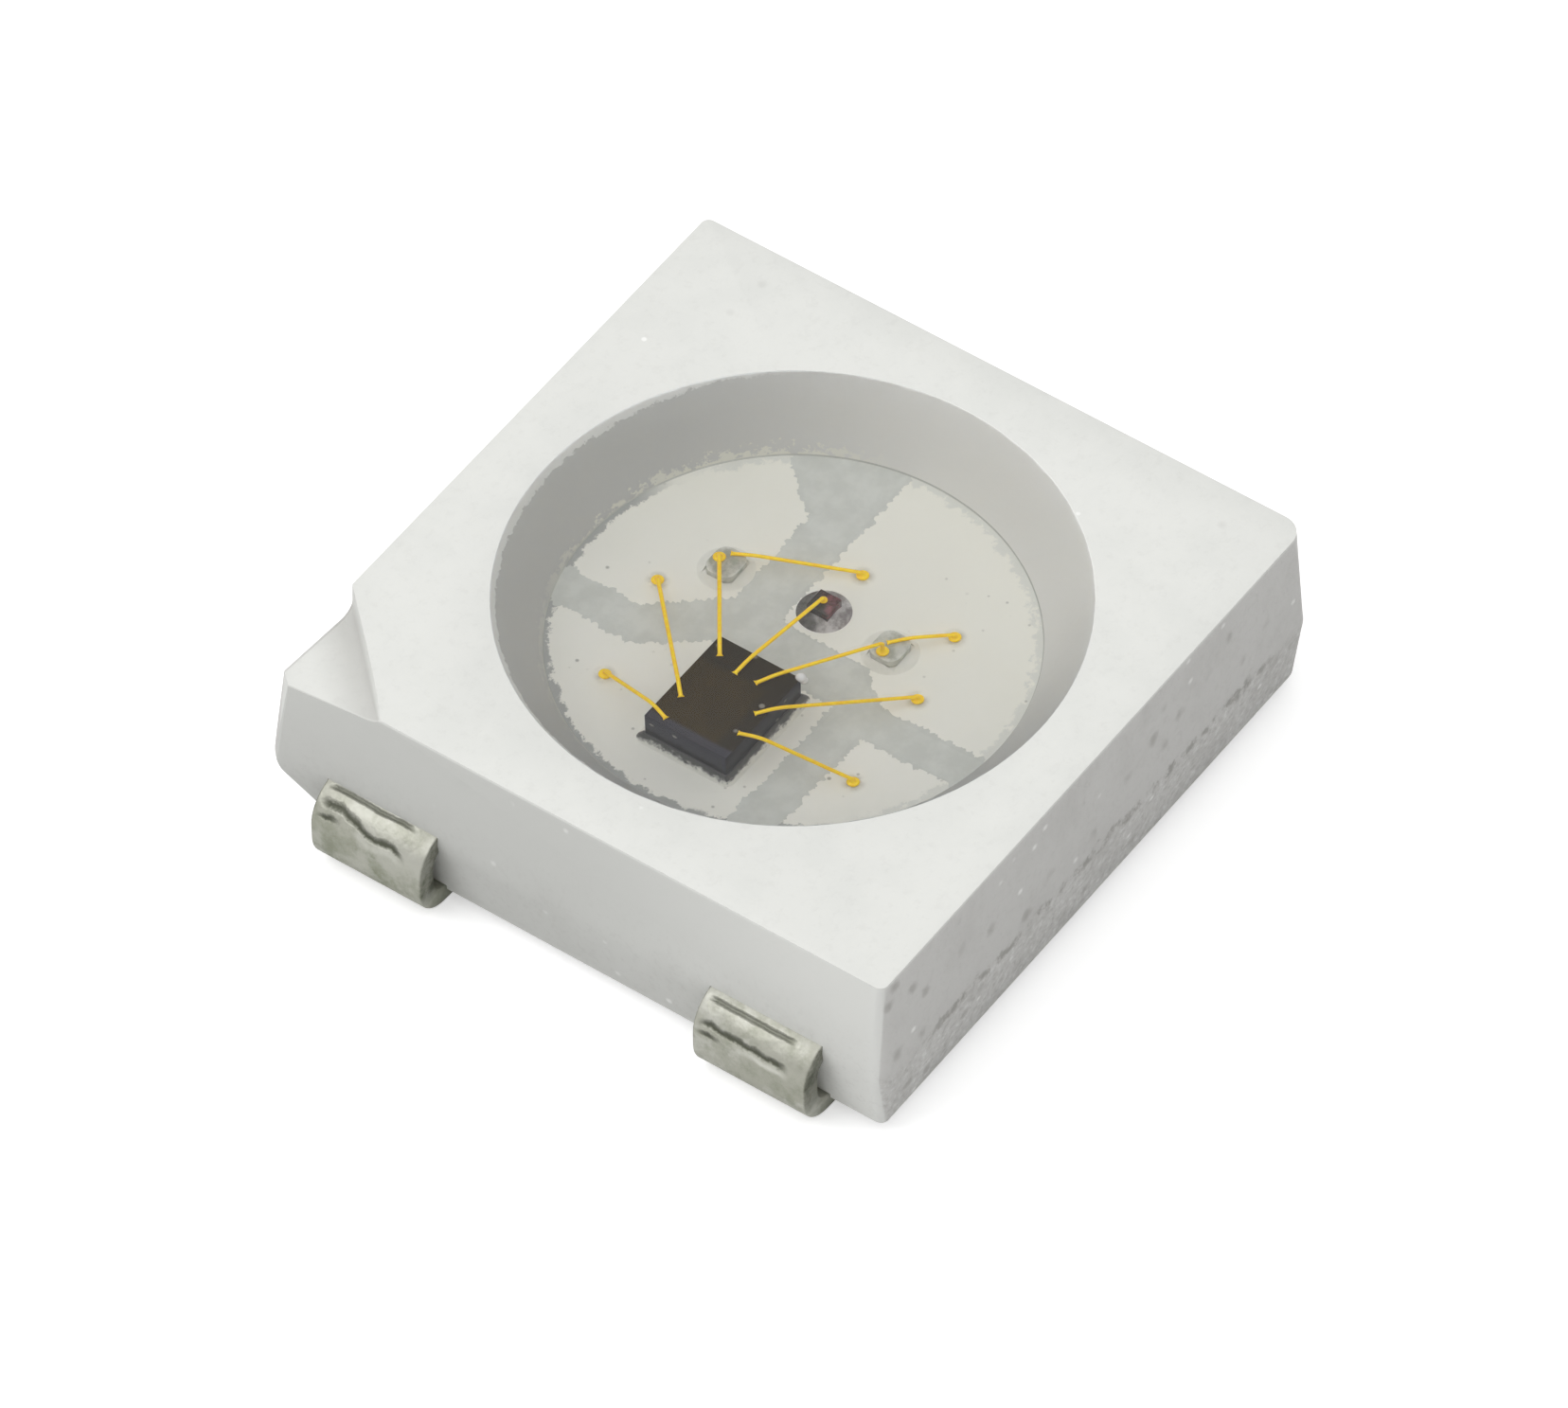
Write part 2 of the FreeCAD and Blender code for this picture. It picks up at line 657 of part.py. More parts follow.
def bond_wire(name, ball_carrier, stitch_carrier):
    """A wire with its ball on one carrier and its stitch on the other."""
    label = f"wire_{name}"
    body = new_body(label)
    ball_x, ball_y, ball_z = place(f"{name}_ball", ball_carrier)
    stitch_x, stitch_y, stitch_z = place(f"{name}_stitch", stitch_carrier)
    run_x, run_y = f"({stitch_x} - {ball_x})", f"({stitch_y} - {ball_y})"
    span = f"sqrt({run_x} ^ 2 + {run_y} ^ 2)"
    level = f"({stitch_z} - {ball_z})"
    rise = size("led_wire_rise" if name in HIGH_RISE_WIRES else "wire_rise")
    bend = size("rise_bend")
    tail = f"({level} + {WIRE_RADIUS} + {size('tail_lift')})"
    tail_start = f"({span} - {size('tail_length')})"
    knee = f"({tail_start} - {size('knee_back')})"
    ball_top = size("ball_height")

    path = new_sketch(body, f"{label}_path", "XZ_Plane")
    draw(
        path,
        (
            ("0", ball_top),
            ("0", f"{rise} - {bend}"),
            (f"{bend} * 0.3", f"{rise} - {bend} * 0.3"),
            (bend, rise),
            (knee, f"{level} + {size('knee_height')}"),
            (f"{knee} + {size('knee_back')} * 0.45", f"{tail} + {size('knee_height')} * 0.55"),
            (tail_start, tail),
            (span, tail),
        ),
        closed=False,
    )
    section = new_sketch(body, f"{label}_section", "XY_Plane", {"z": ball_top})
    draw(section, ring(WIRE_RADIUS))
    pipe = body.newObject("PartDesign::AdditivePipe", f"{label}_run")
    pipe.Profile = section
    pipe.Spine = (path, [""])
    pipe.Transition = "Right corner"

    belly = new_sketch(body, f"{label}_ball_outline", "XY_Plane", {"z": f"{ball_top} * 0.4"})
    ball_radius = f"{size('ball_diameter')} / 2"
    draw(belly, ring(ball_radius))
    cap_draft = f"-atan(({ball_radius} - {WIRE_RADIUS} * 1.4) / ({ball_top} * 0.6))"
    pad(body, f"{label}_ball_cap", belly, f"{ball_top} * 0.6", taper=cap_draft)
    pad(body, f"{label}_ball_foot", belly, f"{ball_top} * 0.4", down=True)

    foot = new_sketch(body, f"{label}_stitch_outline", "XY_Plane", {"z": level})
    stitch_end_x = f"{span} + {size('stitch_overhang')}"
    draw(
        foot,
        (
            (tail_start, f"-{WIRE_RADIUS}"),
            (stitch_end_x, f"-{WIRE_RADIUS} * 1.4"),
            (stitch_end_x, f"{WIRE_RADIUS} * 1.4"),
            (tail_start, WIRE_RADIUS),
        ),
    )
    pad(body, f"{label}_stitch", foot, size("stitch_thickness"))

    body.setExpression("Placement.Base.x", ball_x)
    body.setExpression("Placement.Base.y", ball_y)
    body.setExpression("Placement.Base.z", ball_z)
    body.setExpression("Placement.Rotation.Angle", f"atan2({run_y}; {run_x})")
    return body


wires = {f"wire_{name}": bond_wire(name, *carriers) for name, carriers in WIRES.items()}

# Filling: it wets the cup wall, sinks a little in the middle and closes round all that is inside
filling = new_body("filling_blank")
fill_section = new_sketch(filling, "fill_section", "XZ_Plane")
fill_edge = f"({TOP} - {size('fill_edge_drop')})"
wall_slope = f"({size('cup_rim_radius')} - {size('cup_floor_radius')}) / ({TOP} - {FLOOR})"
fill_radius = f"({size('cup_rim_radius')} - {size('fill_edge_drop')} * {wall_slope})"
fill_middle = f"({fill_edge} - {size('fill_sag')})"
draw(
    fill_section,
    (
        ("0", FLOOR),
        (size("cup_floor_radius"), FLOOR),
        (fill_radius, fill_edge),
        (f"{fill_radius} * 0.5", f"({fill_edge} - {size('fill_sag')} * 0.75)"),
        ("0", fill_middle),
    ),
)
turn(filling, "filling_spin", fill_section)
inside = doc.addObject("Part::Compound", "cup_contents")
inside.Links = [driver_chip, driver_glue, *light_chips.values(), *wires.values()]
encapsulant = doc.addObject("Part::Cut", "encapsulant")
encapsulant.Base = filling
encapsulant.Tool = inside

nodes = {
    "housing": housing,
    **leads,
    "driver_chip": driver_chip,
    "driver_chip_glue": driver_glue,
    **light_chips,
    **wires,
    "encapsulant": encapsulant,
}

doc.recompute()
for item in doc.Objects:
    if {"Invalid", "Error"} & set(item.State):
        raise RuntimeError(f"{item.Name} failed: {item.State}")
os.makedirs(PARTS_FOLDER, exist_ok=True)
for label, node in nodes.items():
    shape = node.Shape
    if shape.isNull() or not shape.isValid() or not shape.Solids:
        raise RuntimeError(f"{label} has no valid solid")
    node.Label = label
for label, node in nodes.items():
    node.Shape.exportStep(os.path.join(PARTS_FOLDER, f"{label}.step"))
    print(f"{label}: {len(node.Shape.Solids)} solid, {node.Shape.Volume:.5f} mm3")
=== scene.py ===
"""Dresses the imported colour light: finishes, wires, chips, clear filling, studio and camera.

Lengths on the object are written in millimetres and become metres where a mesh is made.
"""

import logging
import math
from collections.abc import Iterable, Sequence
from dataclasses import dataclass
from enum import Enum
from functools import cached_property

import bmesh
import bpy
from mathutils import Matrix, Vector, noise


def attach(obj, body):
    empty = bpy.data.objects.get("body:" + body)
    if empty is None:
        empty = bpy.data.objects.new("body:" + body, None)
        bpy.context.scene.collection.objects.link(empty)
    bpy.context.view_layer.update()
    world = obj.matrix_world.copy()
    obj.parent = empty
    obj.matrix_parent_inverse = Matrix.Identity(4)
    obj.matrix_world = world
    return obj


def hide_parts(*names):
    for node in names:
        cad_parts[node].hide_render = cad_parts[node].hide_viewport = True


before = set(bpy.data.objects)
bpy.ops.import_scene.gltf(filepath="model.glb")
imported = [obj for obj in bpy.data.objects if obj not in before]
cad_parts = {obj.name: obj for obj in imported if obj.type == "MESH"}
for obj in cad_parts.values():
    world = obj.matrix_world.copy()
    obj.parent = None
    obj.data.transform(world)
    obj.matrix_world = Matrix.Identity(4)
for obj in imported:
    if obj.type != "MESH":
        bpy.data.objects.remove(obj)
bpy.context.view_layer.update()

LOG = logging.getLogger("colour_light")
MM = 0.001
IMAGE_WIDTH = 1656
BODY = "root"

Mesh = bmesh.types.BMesh
Edge = bmesh.types.BMEdge
Vert = bmesh.types.BMVert
Material = bpy.types.Material
Pair = tuple[float, float]
Point = tuple[float, float, float]
Colour = Point

SHADOW: Colour = (0.020, 0.022, 0.015)

# Places and sizes that several pieces share, in millimetres
RIM_RADIUS = 2.00
FOOT_RADIUS = 1.67
LEAD_OFFSET = 1.55
LEAD_WIDTH = 0.90
DRIVER_CENTRE: Pair = (-0.815, -0.01)
DRIVER_SIZE: Pair = (0.86, 0.66)
RED_CENTRE: Pair = (0.345, -0.01)
GREEN_CENTRE: Pair = (0.28, 0.745)
BLUE_CENTRE: Pair = (0.30, -0.58)

# Steps that tell the outer faces, and the leads outside the housing, from what lies within
AT_FACE = (2.430, 2.445)
AT_LEAD = (2.25, 2.35)

# Shares of -X and +Y in the direction in which the pieces in the cup are darkest
SHADY: Pair = (0.585, 0.811)


class Level(float, Enum):
    """Heights of the object in millimetres, from the plane that the feet stand on."""

    PARTING = 0.625
    FLOOR = 0.70
    LIGHT_BOTTOM = 0.72
    DRIVER_BOTTOM = 0.73
    CRYSTAL_TOP = 0.82
    RED_TOP = 0.87
    DRIVER_TOP = 1.10
    TOP = 1.50


# Shader maths


class Field:
    """A value, colour or vector in a material; arithmetic on it adds Math nodes."""

    def __init__(self, tree: "NodeTree", socket: bpy.types.NodeSocket) -> None:
        """Keep the output socket and the tree that it belongs to."""
        self.tree = tree
        self.socket = socket

    def _math(self, operation: str, *values: "Field | float") -> "Field":
        """Add one Math node that works on the given values."""
        return self.tree.node("ShaderNodeMath", {"operation": operation}, dict(enumerate(values)))

    def __add__(self, other: "Field | float") -> "Field":
        """Return self + other."""
        return self._math("ADD", self, other)

    def __radd__(self, other: "Field | float") -> "Field":
        """Return other + self."""
        return self._math("ADD", other, self)

    def __sub__(self, other: "Field | float") -> "Field":
        """Return self - other."""
        return self._math("SUBTRACT", self, other)

    def __rsub__(self, other: "Field | float") -> "Field":
        """Return other - self."""
        return self._math("SUBTRACT", other, self)

    def __mul__(self, other: "Field | float") -> "Field":
        """Return self * other."""
        return self._math("MULTIPLY", self, other)

    def __rmul__(self, other: "Field | float") -> "Field":
        """Return other * self."""
        return self._math("MULTIPLY", other, self)

    def __truediv__(self, other: "Field | float") -> "Field":
        """Return self / other."""
        return self._math("DIVIDE", self, other)

    def __rtruediv__(self, other: "Field | float") -> "Field":
        """Return other / self."""
        return self._math("DIVIDE", other, self)

    def __pow__(self, other: "Field | float") -> "Field":
        """Return self to the power of other."""
        return self._math("POWER", self, other)

    def __rpow__(self, other: "Field | float") -> "Field":
        """Return other to the power of self."""
        return self._math("POWER", other, self)

    def __abs__(self) -> "Field":
        """Return the size of self without its sign."""
        return self._math("ABSOLUTE", self)

    def sign(self) -> "Field":
        """Return 1 where self is above zero and -1 where it is below."""
        return self._math("SIGN", self)

    def most(self, other: "Field | float") -> "Field":
        """Return the larger of self and other."""
        return self._math("MAXIMUM", self, other)

    def least(self, other: "Field | float") -> "Field":
        """Return the smaller of self and other."""
        return self._math("MINIMUM", self, other)

    def rise(self, low: float, high: float) -> "Field":
        """Return 0 below low and 1 above high, with a soft step between them."""
        step = {"Value": self, "From Min": low, "From Max": high}
        return self.tree.node("ShaderNodeMapRange", {"interpolation_type": "SMOOTHSTEP"}, step)

    def fall(self, low: float, high: float) -> "Field":
        """Return 1 below low and 0 above high, with a soft step between them."""
        return 1.0 - self.rise(low, high)


class NodeTree:
    """A node tree that is filled by one method."""

    def __init__(self, tree: bpy.types.NodeTree) -> None:
        """Take over a tree and empty it."""
        self.tree = tree
        self.tree.nodes.clear()

    def node(
        self,
        kind: str,
        settings: dict | None = None,
        inputs: dict | None = None,
        output: int | str | None = 0,
    ) -> Field | None:
        """Add a node.

        Args:
            kind: Blender's name of the node type.
            settings: Properties of the node, set first.
            inputs: Values or fields for its sockets, by name or number.
            output: Which output to return, or None for a node that ends the tree.

        Returns:
            The field of that output.
        """
        made = self.tree.nodes.new(kind)
        for name, value in (settings or {}).items():
            setattr(made, name, value)
        for name, value in (inputs or {}).items():
            socket = made.inputs[name]
            if isinstance(value, Field):
                self.tree.links.new(value.socket, socket)
            elif isinstance(value, tuple) and socket.type == "RGBA":
                socket.default_value = (*value, 1.0)
            else:
                socket.default_value = value
        return None if output is None else Field(self, made.outputs[output])

    def close(self, kind: str, shader: Field) -> None:
        """Link a shader to the output node of the given kind."""
        self.node(kind, {}, {"Surface": shader}, None)


class FinishTree(NodeTree):
    """The node tree of one material, whose patterns lie on the object in millimetres."""

    def __init__(self, name: str) -> None:
        """Start an empty material.

        Args:
            name: Name of the material.
        """
        self.material = bpy.data.materials.new(name)
        self.material.use_nodes = True
        super().__init__(self.material.node_tree)

    @cached_property
    def place(self) -> Field:
        """The place on the object."""
        place = self.node("ShaderNodeTexCoord", output="Object")
        return self.node("ShaderNodeVectorMath", {"operation": "SCALE"}, {0: place, "Scale": 1 / MM})

    @cached_property
    def axes(self) -> tuple[Field, ...]:
        """The X, Y and Z parts of the place."""
        return tuple(self.node("ShaderNodeSeparateXYZ", {}, {0: self.place}, a) for a in "XYZ")

    @cached_property
    def radius(self) -> Field:
        """The distance from the middle line of the cup."""
        x, y, _ = self.axes
        return (x * x + y * y) ** 0.5

    def offset(self, centre: Pair) -> tuple[Field, Field]:
        """Return how far the place lies from a centre along X and along Y."""
        return self.axes[0] - centre[0], self.axes[1] - centre[1]

    def distance(self, centre: Pair) -> Field:
        """Return how far the place lies from a centre, seen from above."""
        across, along = self.offset(centre)
        return (across * across + along * along) ** 0.5

    def stretched(self, scale: Sequence[float] | None) -> Field:
        """Return the place with each of its parts scaled, or as it is.

        Args:
            scale: Factors for X, Y and Z, or None.

        Returns:
            The scaled place.
        """
        if scale is None:
            return self.place
        scaled = {0: self.place, 1: tuple(scale)}
        return self.node("ShaderNodeVectorMath", {"operation": "MULTIPLY"}, scaled)

    def noise(
        self,
        per_mm: float,
        detail: float = 2.0,
        roughness: float = 0.5,
        stretch: Sequence[float] | None = None,
    ) -> Field:
        """Return soft noise, mostly between 0.3 and 0.7, with so many waves to the millimetre."""
        inputs = {"Scale": per_mm, "Detail": detail, "Roughness": roughness}
        return self.node("ShaderNodeTexNoise", {}, {"Vector": self.stretched(stretch), **inputs})

    def dots(
        self, per_mm: float, core: float, edge: float, stretch: Sequence[float] | None = None
    ) -> Field:
        """Return 1 in scattered dots that fade from the core radius to the edge radius."""
        return self.cells(per_mm, stretch).fall(core, edge)

    def cells(self, per_mm: float, stretch: Sequence[float] | None = None) -> Field:
        """Return the distance to the nearest of scattered points, in spaces between them."""
        inputs = {"Vector": self.stretched(stretch), "Scale": per_mm, "Randomness": 1.0}
        return self.node("ShaderNodeTexVoronoi", {}, inputs)

    def mix(self, factor: Field | float, first: Field | Colour, second: Field | Colour) -> Field:
        """Return the first colour where factor is 0 and the second where it is 1."""
        return self.node("ShaderNodeMix", {"data_type": "RGBA"}, {0: factor, 6: first, 7: second}, 2)

    def cloudy(
        self, first: Colour, second: Colour, per_mm: float, detail: float, roughness: float
    ) -> Field:
        """Return two colours that blend in clouds, with so many of them to the millimetre."""
        cloud = self.noise(per_mm, detail, roughness).rise(0.35, 0.65)
        return self.mix(cloud, first, second)

    def spots(self, centres: Iterable[Pair], reach: float) -> Field:
        """Return 1 at each of the given places on the floor, fading to 0 at reach.

        Args:
            centres: The places.
            reach: Radius of each spot.

        Returns:
            The spots.
        """
        total: Field | float = 0.0
        for centre in centres:
            total = self.distance(centre).fall(reach * 0.35, reach).most(total)
        return total

    def shady_side(self, centre: Pair, shift: float = 0.0) -> Field:
        """Return 1 on the shady side of a place on the floor.

        Args:
            centre: The place.
            shift: How far past it the step lies.

        Returns:
            A soft, cloudy step.
        """
        across, along = self.offset(centre)
        cloudy = along * SHADY[1] - across * SHADY[0] - shift
        return (cloudy + (self.noise(14.0, 3.0, 0.6) - 0.5) * 0.12).rise(-0.035, 0.035)

    def bump(self, height: Field, depth: float, normal: Field | None = None) -> Field:
        """Return a normal that shows height as relief.

        Args:
            height: The relief, from 0 to 1.
            depth: Depth of the relief in millimetres.
            normal: A normal that already has some relief.

        Returns:
            The normal.
        """
        inputs: dict = {"Height": height, "Distance": depth * MM, "Strength": 1.0}
        if normal is not None:
            inputs["Normal"] = normal
        return self.node("ShaderNodeBump", {}, inputs)

    def surface(self, **inputs: Field | float | tuple) -> Material:
        """Close the tree with a Principled shader.

        Args:
            inputs: Its sockets, with underscores for spaces.

        Returns:
            The finished material.
        """
        named = {name.replace("_", " "): value for name, value in inputs.items()}
        shader = self.node("ShaderNodeBsdfPrincipled", {}, named)
        self.close("ShaderNodeOutputMaterial", shader)
        return self.material


# Finishes


@dataclass(frozen=True)
class HousingPlastic:
    """White moulded plastic: smooth above, rougher on the Y sides, greyer between the pads."""

    light: Colour = (0.715, 0.72, 0.69)
    shade: Colour = (0.69, 0.697, 0.668)
    side: Colour = (0.555, 0.56, 0.535)
    # Painted light: the X sides are lighter towards their -Y end
    side_painted_light: Colour = (0.70, 0.705, 0.675)
    rough_side: Colour = (0.59, 0.585, 0.565)
    gap: Colour = (0.66, 0.68, 0.64)
    gap_pale: Colour = (0.74, 0.76, 0.72)
    # Near-white of pale crumbs, of painted glints and of the painted light on the lit side of the
    # cup wall; the two colours after it are painted shade on the wall's shady and near sides
    lit_wall_and_crumb_white: Colour = (0.955, 0.955, 0.935)
    shaded_wall: Colour = (0.64, 0.65, 0.65)
    deep_shaded_wall: Colour = (0.47, 0.48, 0.49)
    cream: Colour = (0.96, 0.96, 0.87)
    # Painted highlight along the cup's rim
    band: Colour = (0.97, 0.985, 0.975)
    # Grey for dust, smudges, haze, stains, pits and the flash line, and for painted shade in the
    # corner cut and at the wall's foot
    dirt_and_shade: Colour = (0.33, 0.32, 0.30)
    # Pale grey for grit on the Y sides and for painted light down the upright corners
    corner: Colour = (0.76, 0.765, 0.745)
    roughness: float = 0.6
    seam_level: float = Level.PARTING + 0.030
    wall_shady: Pair = (0.585, 0.81)

    def top(self, tree: FinishTree) -> Field:
        """Colour the plain plastic, with faint clouds, dust, smudges and glints.

        Args:
            tree: The material.

        Returns:
            The colour.
        """
        mottle = tree.noise(2.4, 5.0, 0.65).rise(0.35, 0.68)
        colour = tree.mix(mottle, self.light, self.shade)
        dust = tree.noise(15.0, 3.0, 0.7).rise(0.50, 0.72)
        colour = tree.mix(dust * 0.07, colour, self.dirt_and_shade)
        smudge = tree.dots(2.1, 0.02, 0.10) * tree.noise(1.7, 0.0).rise(0.5, 0.6)
        colour = tree.mix(smudge * 0.16, colour, self.dirt_and_shade)
        glint = tree.dots(2.7, 0.03, 0.07) * tree.noise(1.3, 0.0).rise(0.46, 0.56)
        return tree.mix(glint * 0.6, colour, self.lit_wall_and_crumb_white)

    def plain_sides(self, tree: FinishTree, grit: Field) -> Field:
        """Colour the X sides, with painted light that makes them lighter towards their -Y end.

        Args:
            tree: The material.
            grit: Fine noise that both kinds of side share.

        Returns:
            The colour.
        """
        _, y, z = tree.axes
        colour = tree.mix(y.fall(-2.5, 0.4), self.side, self.side_painted_light)
        haze = tree.noise(1.6, 4.0, 0.6).rise(0.40, 0.70) * z.fall(0.6, 1.3)
        haze = haze * 0.10 + grit.rise(0.50, 0.68) * z.fall(0.4, 1.3) * 0.12
        colour = tree.mix(haze, colour, self.dirt_and_shade)
        crumbs = tree.dots(3.4, 0.03, 0.12) * tree.noise(2.2, 1.0).rise(0.42, 0.56)
        return tree.mix(crumbs * 0.5, colour, self.lit_wall_and_crumb_white)

    def rough_sides(self, tree: FinishTree, grit: Field, rough: Field, colour: Field) -> Field:
        """Lay grit, stains, pits, pale crumbs and the flash line over the Y sides.

        Args:
            tree: The material.
            grit: Fine noise that both kinds of side share.
            rough: Where the Y sides are.
            colour: The colour so far.

        Returns:
            The new colour.
        """
        x, _, z = tree.axes
        blot = tree.noise(13.0, 3.0, 0.6)
        low = (z + (blot - 0.5) * 0.10).fall(Level.PARTING - 0.03, Level.PARTING + 0.05)
        colour = tree.mix(rough * grit.rise(0.50, 0.68) * (0.10 + low * 0.30), colour, self.dirt_and_shade)
        colour = tree.mix(rough * grit.fall(0.34, 0.47) * low * 0.6, colour, self.corner)
        stain = tree.noise(2.6, 4.0, 0.6).rise(0.42, 0.72)
        colour = tree.mix(rough * stain * (0.14 + low * 0.14), colour, self.dirt_and_shade)
        pits = (tree.cells(4.2) + (blot - 0.5) * 0.35).fall(0.04, 0.30)
        pits = pits * tree.noise(1.9, 1.0).rise(0.38, 0.56)
        colour = tree.mix(pits * rough * 0.60, colour, self.dirt_and_shade)
        pale = tree.dots(3.4, 0.02, 0.14, (1.0, 1.0, 1.3))
        colour = tree.mix(pale * rough * 0.62, colour, self.lit_wall_and_crumb_white)
        wander = (tree.noise(1.7, 3.0, 0.6) - 0.5) * 0.10
        seam = abs(z - self.seam_level + wander + (blot - 0.5) * 0.14).fall(0.012, 0.060)
        broken = tree.noise(7.5, 4.0, 0.7).rise(0.42, 0.58) * abs(x).fall(1.75, 2.35)
        return tree.mix(seam * broken * rough * 0.90, colour, self.dirt_and_shade)

    def sides(self, tree: FinishTree, colour: Field) -> tuple[Field, Field]:
        """Colour the outer sides, with painted light down their upright corners.

        Args:
            tree: The material.
            colour: Colour of the plain plastic.

        Returns:
            The colour, and where the surface is rough.
        """
        x, y, z = tree.axes
        below = z.fall(1.47, 1.49)
        grit = tree.noise(19.0, 3.0, 0.7)
        plain = abs(x).rise(*AT_FACE) * below
        colour = tree.mix(plain, colour, self.plain_sides(tree, grit))
        rough = abs(y).rise(*AT_FACE) * below
        colour = tree.mix(rough, colour, self.rough_side)
        colour = self.rough_sides(tree, grit, rough, colour)
        # Painted light: a paler band down the upright corners of the plain sides
        turn = abs(x).rise(2.28, 2.44) * abs(y).rise(2.30, 2.42) * abs(x + y).rise(4.65, 4.86)
        return tree.mix(turn * below * (1.0 - rough) * 0.35, colour, self.corner), rough

    def mark(self, tree: FinishTree, colour: Field) -> Field:
        """Shade the cut that marks the corner, darkest at the foot of its wall.

        Args:
            tree: The material.
            colour: The colour so far.

        Returns:
            The new colour.
        """
        x, y, z = tree.axes
        out = (y - x) * math.sqrt(0.5)
        cut = out.rise(2.84, 2.86) * z.fall(1.488, 1.498) * z.rise(1.15, 1.20)
        cut = cut * x.rise(-2.443, -2.425)
        return tree.mix(cut * out.fall(2.86, 3.24) * 0.42, colour, self.dirt_and_shade)

    def cup(self, tree: FinishTree, colour: Field) -> Field:
        """Colour the wall and the floor of the cup, with painted light and shade on the wall, frayed
        bands at the wall's edges (the one at the rim a painted highlight) and painted shade at its
        foot.

        Args:
            tree: The material.
            colour: The colour so far.

        Returns:
            The new colour.
        """
        x, y, z = tree.axes
        inside = tree.radius.fall(RIM_RADIUS - 0.002, RIM_RADIUS + 0.002)
        wall = inside * z.rise(Level.FLOOR + 0.012, Level.FLOOR + 0.02)
        # Painted light and shade on the cup wall: near-white on the lit side, darker towards the
        # shady and near sides
        shady = (y * self.wall_shady[1] - x * self.wall_shady[0]) / tree.radius
        front = (x + y) * -0.85 / tree.radius - 0.7
        near = tree.mix(((x + y) / tree.radius).fall(-1.0, 0.1), self.shaded_wall, self.deep_shaded_wall)
        wall_shade = tree.mix(shady.most(front).rise(-0.75, 0.55), self.lit_wall_and_crumb_white, near)
        colour = tree.mix(wall * 0.92, colour, wall_shade)
        ragged = tree.noise(11.0, 4.0, 0.75)
        # Painted highlight: a ragged pale band near the rim on the wall's shady side
        edge = Level.TOP - 0.030 - shady.rise(0.1, 0.8) * 0.050 - (ragged - 0.5) * 0.16
        band = inside * (z - edge).rise(-0.006, 0.006) * shady.rise(-0.1, 0.3)
        colour = tree.mix(band * 0.9, colour, self.band)
        floor = z.fall(Level.FLOOR + 0.006, Level.FLOOR + 0.02)
        floor = floor * tree.radius.fall(FOOT_RADIUS + 0.03, FOOT_RADIUS + 0.05)
        drift = tree.noise(6.0, 4.0, 0.6).rise(0.35, 0.7)
        colour = tree.mix(floor, colour, tree.mix(drift, self.gap, self.gap_pale))
        hem = (z - Level.FLOOR - (ragged - 0.43) * 0.75).fall(-0.016, 0.020)
        far = (x * SHADY[1] + y * SHADY[0]) / tree.radius
        hem = wall * hem * shady.rise(-0.50, -0.10) * (far.rise(0.2, 0.7) * 0.5 + 0.2)
        colour = tree.mix(hem, colour, self.cream)
        # Painted shade: a thin dark line at the foot of the wall on its lit side
        foot = z.rise(Level.FLOOR, Level.FLOOR + 0.004)
        foot = inside * foot * z.fall(Level.FLOOR + 0.012, Level.FLOOR + 0.022)
        return tree.mix(foot * shady.fall(-0.3, 0.2) * 0.3, colour, self.dirt_and_shade)

    def material(self) -> Material:
        """Build the material.

        Returns:
            The material.
        """
        tree = FinishTree("housing_plastic")
        colour, rough = self.sides(tree, self.top(tree))
        colour = self.mark(tree, colour)
        colour = self.cup(tree, colour)
        grain = tree.noise(24.0, 4.0, 0.65) * (0.25 + rough * 0.9)
        pits = tree.dots(5.0, 0.05, 0.20) * rough
        normal = tree.bump(grain - pits * 0.9, 0.006, tree.bump(tree.noise(4.0, 2.0), 0.005))
        return tree.surface(Base_Color=colour, Roughness=self.roughness, Normal=normal)


